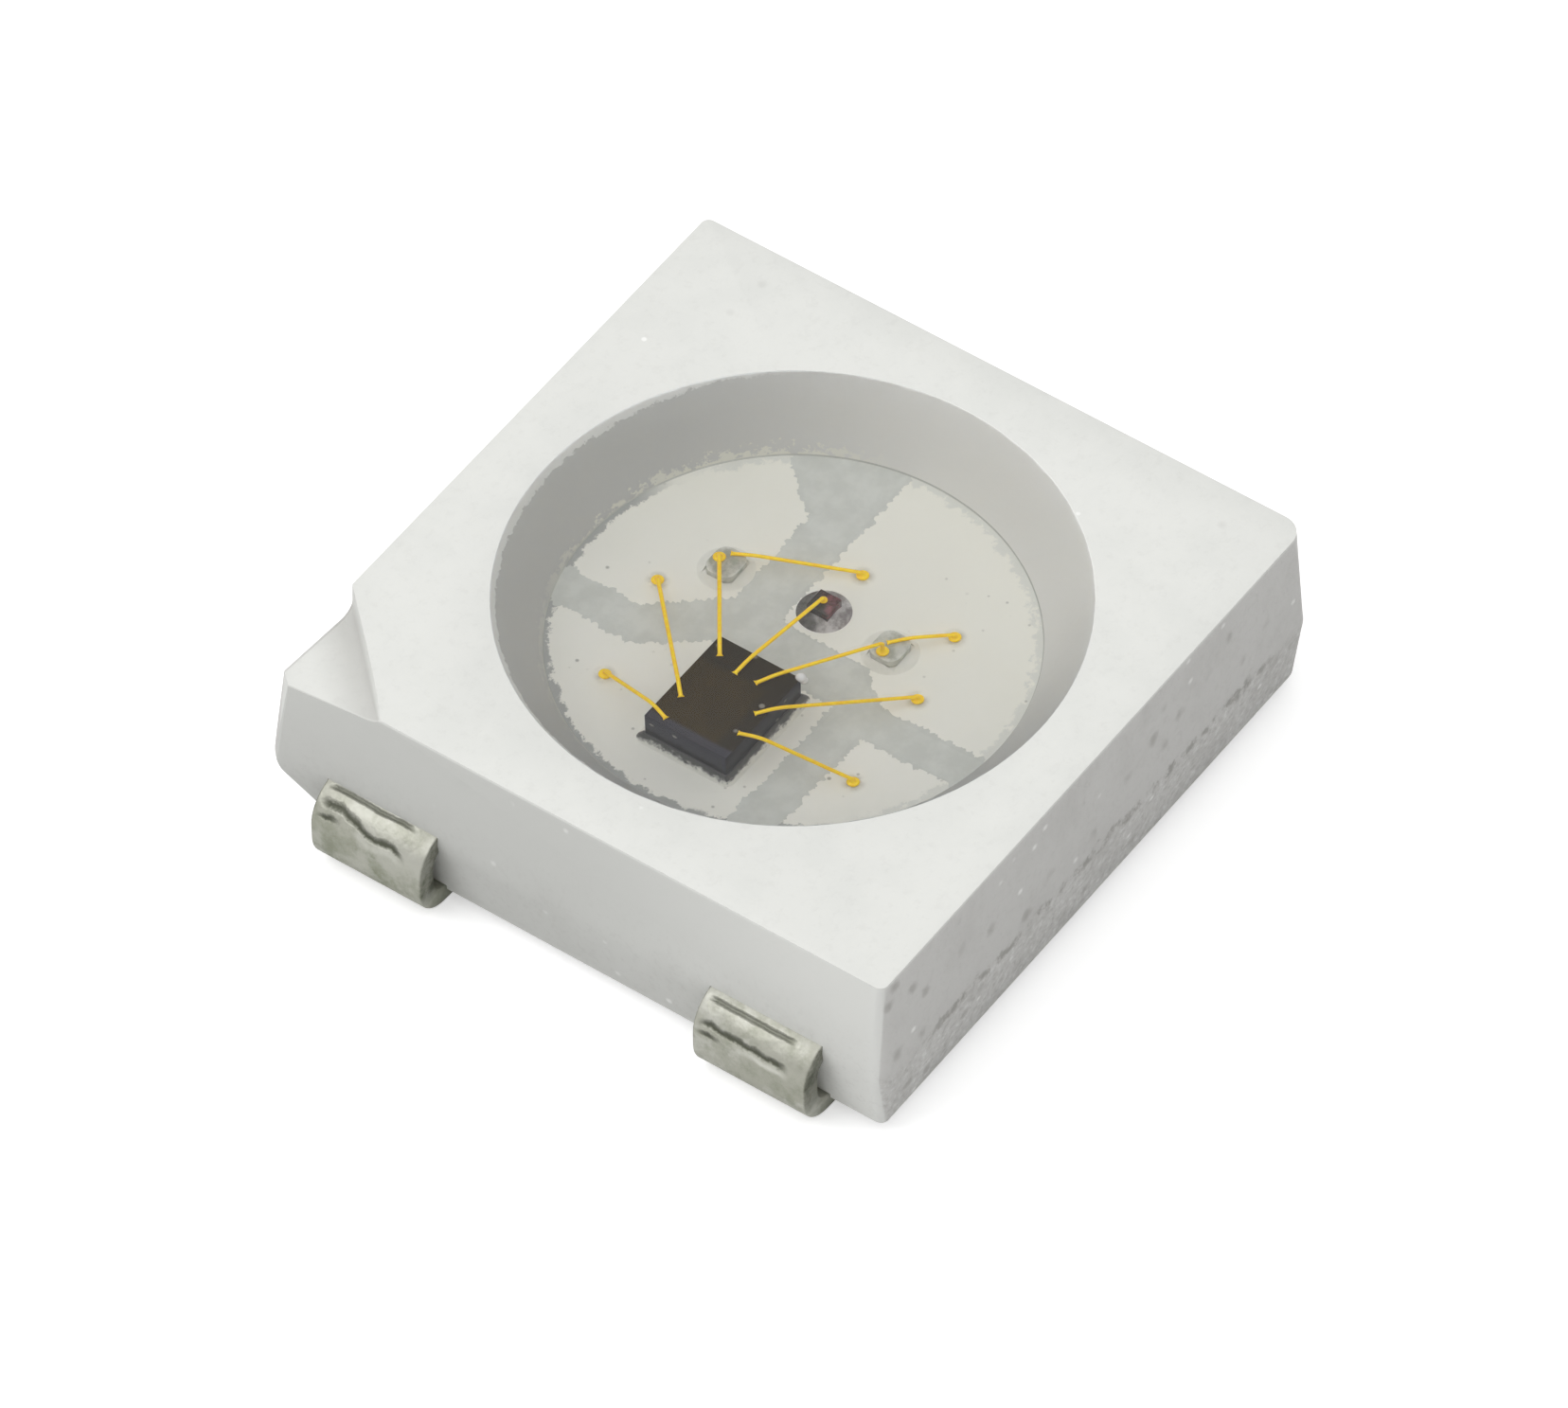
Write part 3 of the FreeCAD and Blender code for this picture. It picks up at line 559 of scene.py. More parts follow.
@dataclass(frozen=True)
class Plating:
    """Matt plating on the lead frame: cream-white pads, and creased, darker leads outside, with
    painted shade and highlights on the leads and painted shadows round the wires' balls.
    """

    pad: Colour = (0.97, 0.965, 0.90)
    # Cream for clouds on the pads and for the painted highlight under the leads' lower bending line
    pad_tone_and_highlight: Colour = (0.95, 0.95, 0.88)
    pad_far: Colour = (0.945, 0.94, 0.855)
    pad_rim: Colour = (0.76, 0.775, 0.73)
    pad_shade: Colour = (0.40, 0.415, 0.405)
    glint: Colour = (1.0, 1.0, 0.985)
    lead: Colour = (0.47, 0.47, 0.405)
    lead_pale: Colour = (0.60, 0.60, 0.545)
    lead_dark: Colour = (0.26, 0.275, 0.20)
    # Dark olive for the bending creases and for painted shade on the leads
    crease_and_shade: Colour = (0.06, 0.065, 0.04)
    # Grey for specks on the pads and for the painted shadows round the wires' balls
    smudge: Colour = (0.36, 0.36, 0.32)
    roughness: float = 0.5
    upper_crease: float = 2.5375
    lower_crease: float = 0.580

    def pads(self, tree: FinishTree, outside: Field) -> Field:
        """Colour the pads, frayed grey along the foot of the cup wall and with painted shade there
        on the wall's shady side.

        Args:
            tree: The material.
            outside: Where the leads are outside the housing.

        Returns:
            The colour.
        """
        x, y, _ = tree.axes
        cloud = tree.noise(3.0, 4.0, 0.6).rise(0.35, 0.7)
        pads = tree.mix(cloud * (1.0 - outside), self.pad, self.pad_tone_and_highlight)
        pads = tree.mix(x.rise(-0.6, 0.9) * 0.8, pads, self.pad_far)
        ragged = (tree.noise(10.0, 4.0, 0.75) - 0.5) * 0.34
        shady = y - x * 1.4
        rim = (tree.radius + ragged).rise(FOOT_RADIUS - 0.070, FOOT_RADIUS - 0.030)
        pads = tree.mix(rim * shady.fall(-0.3, 0.5) * 0.7, pads, self.pad_rim)
        # Painted shade at the foot of the wall on its shady side
        dark = (tree.radius + ragged * 0.6).rise(FOOT_RADIUS - 0.055, FOOT_RADIUS - 0.030)
        return tree.mix(dark * shady.rise(0.3, 1.1) * 0.9, pads, self.pad_shade)

    def leads(self, tree: FinishTree, stain: Field, far: Field) -> Field:
        """Colour the leads, darker towards the bottom and stained.

        Args:
            tree: The material.
            stain: Clouds that the leads' edges share.
            far: 0 at the leads on the -Y side and 1 at those on the +Y side.

        Returns:
            The colour.
        """
        low = tree.axes[2].fall(0.30, 0.62) * (far * 0.30 + 0.22)
        leads = tree.mix((stain * 0.55 + low).least(1.0), self.lead, self.lead_dark)
        patch = tree.noise(2.9, 5.0, 0.7).rise(0.46, 0.62) * (0.70 - far * 0.25)
        return tree.mix(patch, leads, self.lead_pale)

    def specks(self, tree: FinishTree, inside: Field, colour: Field) -> Field:
        """Lay specks, painted shadows round the wires' balls and a glint by the red chip over the
        pads.

        Args:
            tree: The material.
            inside: Where the pads are.
            colour: The colour so far.

        Returns:
            The new colour.
        """
        x, y, _ = tree.axes
        specks = tree.dots(4.0, 0.03, 0.08) * tree.noise(2.1, 0.0).rise(0.52, 0.60)
        fine = tree.dots(9.0, 0.05, 0.14) * tree.noise(3.3, 1.0).rise(0.58, 0.66)
        colour = tree.mix(specks.most(fine * 0.7) * inside * 0.8, colour, self.smudge)
        balls = [wire.start[:2] for wire in WIRES if wire.start[2] == Level.FLOOR]
        # Painted shadows on the pads round the wires' balls
        ball_shadow = tree.spots(balls, 0.10) * tree.noise(14.0, 3.0, 0.6).rise(0.3, 0.6)
        colour = tree.mix(ball_shadow * inside * 0.5, colour, self.smudge)
        lit = (x * SHADY[0] - y * SHADY[1]).fall(0.10, 0.22)
        return tree.mix(tree.spots([RED_CENTRE], 0.27) * lit * inside, colour, self.glint)

    def creases(self, tree: FinishTree) -> tuple[Field, Field]:
        """Find the dark lines of each lead: painted shade where it leaves the housing, and its
        bending creases.

        Args:
            tree: The material.

        Returns:
            The dark lines, and a painted highlight under the lower of the bending lines.
        """
        x, y, z = tree.axes
        side = y.sign()
        along = 0.5 - (y - side * LEAD_OFFSET) / LEAD_WIDTH
        wave = tree.noise(1.0, 1.0, 0.5, (0.0, 3.1, 0.0)) - 0.5
        fine = tree.noise(16.0, 3.0, 0.6) - 0.5
        ends = along.rise(0.02, 0.12) * along.fall(0.74, 0.86)
        # Painted shade in a line where the lead leaves the housing
        bow = abs(x) - self.upper_crease + side * 0.0175 - wave * 0.03 + fine * 0.016
        upper = abs(bow).fall(0.003, 0.024) * z.rise(0.60, 0.65)
        height = z - self.lower_crease - side * 0.040 + along * (side * 0.04 + 0.06)
        height = height + wave * 0.13 + fine * 0.034
        lower = abs(height).fall(0.004, 0.034)
        third = abs(height + 0.078).fall(0.004, 0.028) * along.fall(0.14, 0.28)
        front = abs(x).rise(2.5, 2.56) * ends
        # Painted highlight: a pale line under the lower bending line
        lip_highlight = abs(height + 0.055 + wave * 0.05).fall(0.0, 0.040) * along.rise(0.25, 0.60)
        return (upper * ends * 0.8).most(lower.most(third) * front), lip_highlight * front

    def material(self) -> Material:
        """Build the material.

        Returns:
            The material.
        """
        tree = FinishTree("plating")
        x, y, z = tree.axes
        outside = abs(x).rise(*AT_LEAD)
        far = y.rise(-1.0, 1.0)
        stain = tree.noise(5.0, 5.0, 0.7).rise(0.40, 0.68)
        colour = tree.mix(outside, self.pads(tree, outside), self.leads(tree, stain, far))
        colour = self.specks(tree, 1.0 - outside, colour)
        from_middle = abs(y.sign() * -LEAD_OFFSET + y)
        # Painted shade along the side edges of the leads outside the housing
        lead_side_shade = from_middle.rise(LEAD_WIDTH / 2 - 0.018, LEAD_WIDTH / 2 - 0.001)
        lead_side_shade = lead_side_shade * outside * z.rise(0.12, 0.30)
        colour = tree.mix(lead_side_shade * (0.45 + stain * 0.5), colour, self.crease_and_shade)
        crease_and_shade, lip_highlight = self.creases(tree)
        colour = tree.mix(lip_highlight * (0.42 - far * 0.25), colour, self.pad_tone_and_highlight)
        colour = tree.mix(crease_and_shade * x.fall(-2.3, -2.2) * 0.92, colour, self.crease_and_shade)
        lines = tree.noise(1.0, 3.0, 0.6, (2.0, 30.0, 2.0))
        dents = tree.noise(7.0, 3.0, 0.6) * outside
        return tree.surface(
            Base_Color=colour,
            Roughness=self.roughness - outside * 0.06,
            Metallic=outside * 0.35,
            Normal=tree.bump(lines * 0.1 + dents * 2.0 - crease_and_shade * 3.0, 0.006),
        )


@dataclass(frozen=True)
class Silicon:
    """Polished brownish chip top with darker rims, a painted highlight along its -X edge, and sawn,
    blue-grey sides.
    """

    top: Colour = (0.036, 0.021, 0.0)
    rim: Colour = (0.020, 0.013, 0.004)
    side: Colour = (0.020, 0.019, 0.026)
    # Blue-grey of the glue step on the sides and of the painted highlight along the top's -X edge
    blue_ledge_and_highlight: Colour = (0.060, 0.062, 0.085)
    speck: Colour = (0.34, 0.33, 0.29)
    roughness: float = 0.45
    sheen: float = 0.15
    ledge_level: float = 0.86

    def material(self) -> Material:
        """Build the material.

        Returns:
            The material.
        """
        tree = FinishTree("driver_silicon")
        z = tree.axes[2]
        across, along = tree.offset(DRIVER_CENTRE)
        from_edge = across + DRIVER_SIZE[0] / 2
        soft = (tree.noise(8.0, 3.0, 0.6) - 0.5) * 0.05
        rim = (across + soft).rise(0.16, 0.24).most((along + soft).fall(-0.25, -0.17))
        cloud = tree.noise(5.0, 3.0, 0.6).rise(0.3, 0.7)
        top = tree.mix(cloud, self.top, tuple(c * 1.3 for c in self.top))
        top = tree.mix(rim * 0.8, top, self.rim)
        fuzz = tree.noise(16.0, 4.0, 0.7)
        band = (z - self.ledge_level - (fuzz - 0.5) * 0.10).rise(-0.03, 0.05)
        side = tree.mix(from_edge.fall(0.0, 0.010) * band * 0.8, self.side, self.blue_ledge_and_highlight)
        on_top = z.rise(Level.DRIVER_TOP - 0.010, Level.DRIVER_TOP - 0.004)
        colour = tree.mix(on_top, side, top)
        # Painted highlight along the top's -X edge
        strip = z.rise(Level.DRIVER_TOP - 0.020, Level.DRIVER_TOP - 0.005)
        strip = (from_edge + soft * 0.3).fall(0.05, 0.09) * strip
        colour = tree.mix(strip * 0.75, colour, self.blue_ledge_and_highlight)
        specks = tree.dots(6.0, 0.07, 0.16) * tree.noise(3.0, 0.0).rise(0.40, 0.46)
        return tree.surface(
            Base_Color=tree.mix(specks * 0.8, colour, self.speck),
            Roughness=self.roughness,
            Specular_IOR_Level=self.sheen,
            Normal=tree.bump(tree.noise(40.0, 2.0), 0.0006),
        )


@dataclass(frozen=True)
class Crystal:
    """A light chip: a small block with a cloudy body."""

    name: str
    body: Colour
    cloud: Colour
    roughness: float
    shadow_at: Pair | None = None
    clear_from: Pair | None = None
    clear: Colour = (0.93, 0.93, 0.87)

    def material(self) -> Material:
        """Build the material.

        Returns:
            The material.
        """
        tree = FinishTree(self.name)
        colour = tree.cloudy(self.body, self.cloud, 11.0, 3.0, 0.6)
        if self.clear_from:
            fray = (tree.noise(15.0, 3.0, 0.6) - 0.5) * 0.10
            rim = (tree.distance(self.clear_from) + fray).rise(0.09, 0.15)
            colour = tree.mix(rim * 0.6, colour, self.clear)
        if self.shadow_at:
            colour = tree.mix(tree.shady_side(self.shadow_at) * 0.92, colour, SHADOW)
        return tree.surface(
            Base_Color=colour,
            Roughness=self.roughness,
            Normal=tree.bump(tree.noise(30.0), 0.0006),
        )


@dataclass(frozen=True)
class Adhesive:
    """Cured glue."""

    name: str
    body: Colour
    edge: Colour
    roughness: float
    shadow_at: Pair | None = None

    def material(self) -> Material:
        """Build the material.

        Returns:
            The material.
        """
        tree = FinishTree(self.name)
        colour = tree.cloudy(self.body, self.edge, 9.0, 4.0, 0.65)
        if self.shadow_at:
            colour = tree.mix(tree.shady_side(self.shadow_at, 0.05) * 0.75, colour, SHADOW)
        return tree.surface(
            Base_Color=colour,
            Roughness=self.roughness,
            Normal=tree.bump(tree.noise(16.0, 3.0), 0.006),
        )


@dataclass(frozen=True)
class DriverAdhesive:
    """The pale glue bed of the driver chip, dark along the chip's front sides from glue and painted
    shade.
    """

    pale: Colour = (0.96, 0.955, 0.89)
    # Dark glue and painted shade along the chip's front sides
    stain: Colour = (0.017, 0.017, 0.024)
    roughness: float = 0.5

    def material(self) -> Material:
        """Build the material.

        Returns:
            The material.
        """
        tree = FinishTree("driver_glue")
        across, along = tree.offset(DRIVER_CENTRE)
        past = (across * -1.0 - DRIVER_SIZE[0] / 2).most(along * -1.0 - DRIVER_SIZE[1] / 2)
        fuzz = (tree.noise(17.0, 4.0, 0.7) - 0.5) * 0.06
        near = (past + fuzz).fall(0.026, 0.048) * past.rise(-0.02, 0.0)
        pale = tree.cloudy(self.pale, tuple(c * 0.94 for c in self.pale), 9.0, 4.0, 0.65)
        return tree.surface(
            Base_Color=tree.mix(near * 0.9, pale, self.stain),
            Roughness=self.roughness,
            Normal=tree.bump(tree.noise(16.0, 3.0), 0.004),
        )


@dataclass(frozen=True)
class WireGold:
    """Drawn gold, slightly rubbed, with painted shade at its outline and a faint painted glow."""

    bright: Colour = (1.0, 0.74, 0.0)
    deep: Colour = (1.0, 0.64, 0.0)
    # Painted shade where the wire turns away from view
    rim: Colour = (0.62, 0.36, 0.0)
    # Colour of the painted glow
    glow_colour: Colour = (1.0, 0.56, 0.0)
    glow: float = 0.17
    metallic: float = 0.1

    def material(self) -> Material:
        """Build the material.

        Returns:
            The material.
        """
        tree = FinishTree("wire_gold")
        rub = tree.noise(22.0, 3.0, 0.6).rise(0.4, 0.65)
        colour = tree.mix(rub, self.bright, self.deep)
        # Painted shade: darker towards the wire's outline
        edge = tree.node("ShaderNodeLayerWeight", {}, {"Blend": 0.5}, "Facing")
        return tree.surface(
            Base_Color=tree.mix(edge.rise(0.45, 0.95), colour, self.rim),
            Metallic=self.metallic,
            # Painted glow: the gold gives off a little light of its own
            Emission_Color=self.glow_colour,
            Emission_Strength=self.glow,
            Roughness=0.34 + rub * 0.12,
            Normal=tree.bump(tree.noise(45.0, 2.0), 0.0008),
        )


@dataclass(frozen=True)
class ClearResin:
    """The clear filling."""

    index: float = 1.46
    clear: Colour = (1.0, 1.0, 1.0)
    hazy: Colour = (0.985, 0.985, 0.975)

    def material(self) -> Material:
        """Build the material.

        Returns:
            The material.
        """
        tree = FinishTree("clear_resin")
        haze = tree.noise(1.2, 2.0).rise(0.4, 0.7)
        return tree.surface(
            Base_Color=tree.mix(haze, self.clear, self.hazy),
            Roughness=0.0,
            Transmission_Weight=1.0,
            IOR=self.index,
            Normal=tree.bump(tree.noise(0.9, 1.0), 0.002),
        )


# Meshes


def publish(
    mesh: Mesh,
    name: str,
    material: Material,
    replaces: str | None = None,
    smooth_degrees: float = 40.0,
) -> None:
    """Turn a bmesh into a piece of the object.

    Args:
        mesh: The shape, already in place and in metres; it is freed.
        name: Name of the piece.
        material: Its material.
        replaces: The CAD node that it stands for.
        smooth_degrees: Edges sharper than this stay sharp.
    """
    mesh.normal_update()
    for face in mesh.faces:
        face.smooth = True
    for edge in sharp_edges(mesh, smooth_degrees):
        edge.smooth = False
    data = bpy.data.meshes.new(name)
    mesh.to_mesh(data)
    mesh.free()
    data.materials.append(material)
    piece = bpy.data.objects.new(name, data)
    bpy.context.scene.collection.objects.link(piece)
    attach(piece, BODY)
    if replaces:
        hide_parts(replaces)
    LOG.info("%s: %d faces", name, len(data.polygons))


def merged_copy(node: str) -> Mesh:
    """Copy a CAD node, with its doubles merged and its flat areas joined.

    Args:
        node: Name of the node.

    Returns:
        The copy.
    """
    mesh = bmesh.new()
    mesh.from_mesh(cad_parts[node].data)
    bmesh.ops.remove_doubles(mesh, verts=mesh.verts, dist=1e-4 * MM)
    bmesh.ops.dissolve_limit(
        mesh,
        angle_limit=math.radians(0.5),
        use_dissolve_boundaries=False,
        verts=mesh.verts,
        edges=mesh.edges,
    )
    return mesh


def soften(
    mesh: Mesh, edges: Iterable[Edge], width: float, segments: int = 2
) -> None:
    """Round edges over.

    Args:
        mesh: The shape.
        edges: The edges to round.
        width: Width of the rounding in millimetres.
        segments: Number of facets across it.
    """
    bmesh.ops.bevel(
        mesh,
        geom=list(edges),
        offset=width * MM,
        affect="EDGES",
        segments=segments,
        profile=0.5,
        material=-1,
        clamp_overlap=True,
    )


def sharp_edges(mesh: Mesh, degrees: float) -> list[Edge]:
    """Find the edges whose faces turn by more than so many degrees.

    Args:
        mesh: The shape.
        degrees: The limit.

    Returns:
        The edges.
    """
    limit = math.radians(degrees)
    return [
        edge
        for edge in mesh.edges
        if len(edge.link_faces) == 2 and edge.calc_face_angle(0.0) > limit
    ]


def block(centre: Pair, size: Pair, bottom: float, top: float) -> Mesh:
    """Make a box.

    Args:
        centre: Its middle, seen from above.
        size: Its length along X and along Y.
        bottom: Level of its underside.
        top: Level of its top.

    Returns:
        The box.
    """
    mesh = bmesh.new()
    shift = Matrix.Translation(Vector((*centre, (bottom + top) / 2)) * MM)
    scale = Matrix.Diagonal((size[0] * MM, size[1] * MM, (top - bottom) * MM, 1.0))
    bmesh.ops.create_cube(mesh, size=1.0, matrix=shift @ scale)
    return mesh


@dataclass
class Housing:
    """The moulded housing with softened edges."""

    edge_width: float = 0.018
    softened_above: float = 1.0
    outer_from: float = 2.40
    cuts: int = 3

    @staticmethod
    def ring_of(vert: Vert, near: float) -> float:
        """Tell whether a vertex lies on the rim or on the foot of the cup wall.

        Args:
            vert: The vertex.
            near: How far off it may lie, in millimetres.

        Returns:
            The radius of that ring in metres, or 0.
        """
        for radius, level in ((RIM_RADIUS, Level.TOP), (FOOT_RADIUS, Level.FLOOR)):
            off = abs(vert.co.xy.length - radius * MM)
            if off < near * MM and abs(vert.co.z - level * MM) < 0.002 * MM:
                return radius * MM
        return 0.0

    def round_cup(self, mesh: Mesh) -> None:
        """Cut the rim and the foot of the cup wall finer and lay them on their true circles.

        Args:
            mesh: The shape.
        """
        rings = [edge for edge in mesh.edges if all(self.ring_of(v, 0.001) for v in edge.verts)]
        bmesh.ops.subdivide_edges(mesh, edges=rings, cuts=self.cuts)
        for vert in mesh.verts:
            radius = self.ring_of(vert, 0.010)
            if radius:
                vert.co.xy *= radius / vert.co.xy.length

    def is_softened(self, edge: Edge) -> bool:
        """Tell whether an edge is rounded over: outside above the floor, or the cup's rim.

        Args:
            edge: A sharp edge.

        Returns:
            True where it is rounded over.
        """
        middle = (edge.verts[0].co + edge.verts[1].co) / 2
        outer = max(abs(middle.x), abs(middle.y)) > self.outer_from * MM
        above_floor = middle.z > (Level.FLOOR + 0.005) * MM
        return above_floor and (outer or middle.z > self.softened_above * MM)

    def build(self, material: Material) -> None:
        """Build and dress the housing.

        Args:
            material: Its material.
        """
        mesh = merged_copy("housing")
        self.round_cup(mesh)
        chosen = [edge for edge in sharp_edges(mesh, 24.0) if self.is_softened(edge)]
        soften(mesh, chosen, self.edge_width)
        publish(mesh, "housing_shell", material, "housing", 30.0)


@dataclass
class LeadFrame:
    """The four leads."""

    nodes: tuple[str, ...] = ("lead_vdd", "lead_dout", "lead_vss", "lead_din")
    edge_width: float = 0.012
    outer_from: float = 2.2

    def build(self, material: Material) -> None:
        """Build and dress the leads.

        Args:
            material: Their material.
        """
        for node in self.nodes:
            mesh = merged_copy(node)
            strip = [
                edge
                for edge in sharp_edges(mesh, 40.0)
                if min(abs(v.co.x) for v in edge.verts) > self.outer_from * MM
            ]
            soften(mesh, strip, self.edge_width)
            publish(mesh, f"{node}_plated", material, node, 30.0)


@dataclass
class Flash:
    """A thin ragged film of plastic that has crept over the edge of a pad."""

    name: str
    edge: tuple[Pair, ...]
    pad_side: float = 1.0  # 1 where the pad lies to the left of the edge, -1 to the right
    reach: float = 0.055
    outward: float = 0.012
    lift: float = 0.0004
    thickness: float = 0.0008
    step: float = 0.010
    smoothing: int = 4
    cup_radius: float = FOOT_RADIUS - 0.006

    def points(self) -> list[Vector]:
        """Place points along the pad's edge.

        Returns:
            Those that lie on the cup floor.
        """
        points = []
        for start, end in zip(self.edge, self.edge[1:]):
            first, last = Vector(start), Vector(end)
            count = max(int((last - first).length / self.step), 1)
            points += [first.lerp(last, index / count) for index in range(count)]
        points.append(Vector(self.edge[-1]))
        return [point for point in points if point.length < self.cup_radius]

    def creep(self, point: Vector) -> float:
        """Tell how far the film has crept over the pad.

        Args:
            point: A point on the pad's edge.

        Returns:
            The distance in millimetres.
        """
        place = Vector((point.x, point.y, self.pad_side))
        fine = noise.fractal(place * 20.0, 0.7, 2.1, 4)
        broad = noise.noise(place * 4.0)
        return self.reach * min(max(0.30 + 0.65 * fine + 0.40 * broad, 0.03), 1.2)

    def build(self, material: Material) -> None:
        """Build the film.

        Args:
            material: Its material.
        """
        points = self.points()
        level = (Level.FLOOR + self.lift) * MM
        mesh = bmesh.new()
        sides = []
        for index in range(len(points)):
            last = min(index + self.smoothing, len(points) - 1)
            ahead = points[last] - points[max(index - self.smoothing, 0)]
            sides.append(Vector((-ahead.y, ahead.x)).normalized() * self.pad_side)
        outer = [point - side * self.outward for point, side in zip(points, sides)]
        inner = [point + side * self.creep(point) for point, side in zip(points, sides)]
        verts = [mesh.verts.new((p.x * MM, p.y * MM, level)) for p in outer]
        edges = [mesh.edges.new(pair) for pair in zip(verts, verts[1:])]
        made = bmesh.ops.extrude_edge_only(mesh, edges=edges)["geom"]
        targets = {tuple(vert.co): target for vert, target in zip(verts, inner)}
        for vert in (item for item in made if isinstance(item, Vert)):
            target = targets[tuple(vert.co)]
            vert.co = (target.x * MM, target.y * MM, level)
        top = bmesh.ops.extrude_face_region(mesh, geom=mesh.faces[:])["geom"]
        raised = [item for item in top if isinstance(item, Vert)]
        bmesh.ops.translate(mesh, vec=(0.0, 0.0, self.thickness * MM), verts=raised)
        bmesh.ops.recalc_face_normals(mesh, faces=mesh.faces)
        publish(mesh, self.name, material)


@dataclass
class DriverChip:
    """The dark chip that drives the three lights."""

    edge_width: float = 0.008

    def build(self, silicon: Silicon, glue: DriverAdhesive) -> None:
        """Build the chip and its glue.

        Args:
            silicon: Finish of the chip.
            glue: Finish of the glue.
        """
        mesh = block(DRIVER_CENTRE, DRIVER_SIZE, Level.DRIVER_BOTTOM, Level.DRIVER_TOP)
        soften(mesh, sharp_edges(mesh, 40.0), self.edge_width)
        node = "driver_chip"
        publish(mesh, "driver_die", silicon.material(), node)
        node = "driver_chip_glue"
        publish(merged_copy(node), "driver_glue_bed", glue.material(), node, 50.0)


@dataclass
class LightChip:
    """One of the three light chips with its glue."""

    colour: str
    centre: Pair
    size: Pair
    top: Level
    rounding: float = 0.0
    edge_width: float = 0.006

    def build(self, crystal: Crystal, glue: Adhesive) -> None:
        """Build the chip and its glue.

        Args:
            crystal: Finish of the chip.
            glue: Finish of the glue.
        """
        mesh = block(self.centre, self.size, Level.LIGHT_BOTTOM, self.top)
        if self.rounding:
            upright = [edge for edge in mesh.edges if edge.verts[0].co.xy == edge.verts[1].co.xy]
            soften(mesh, upright, self.rounding, 6)
        soften(mesh, sharp_edges(mesh, 40.0), self.edge_width)
        node = f"{self.colour}_chip"
        publish(mesh, f"{self.colour}_crystal", crystal.material(), node)
        mesh = merged_copy(f"{node}_glue")
        name = f"{self.colour}_glue_mound"
        publish(mesh, name, glue.material(), f"{node}_glue", 50.0)


@dataclass
class Bead:
    """A small white drop of glue at one corner of the driver chip."""

    drops: tuple[Point, ...] = (
        (-0.378, -0.332, 1.094),
        (-0.372, -0.352, 1.060),
        (-0.360, -0.345, 1.020),
    )
    radius: float = 0.038

    def build(self, finish: Adhesive) -> None:
        """Build the drops as one piece.

        Args:
            finish: Their finish.
        """
        mesh = bmesh.new()
        for index, centre in enumerate(self.drops):
            place = Matrix.Translation(Vector(centre) * MM)
            radius = self.radius * (1.0 - 0.15 * index) * MM
            bmesh.ops.create_icosphere(mesh, subdivisions=3, radius=radius, matrix=place)
        publish(mesh, "glue_bead", finish.material())


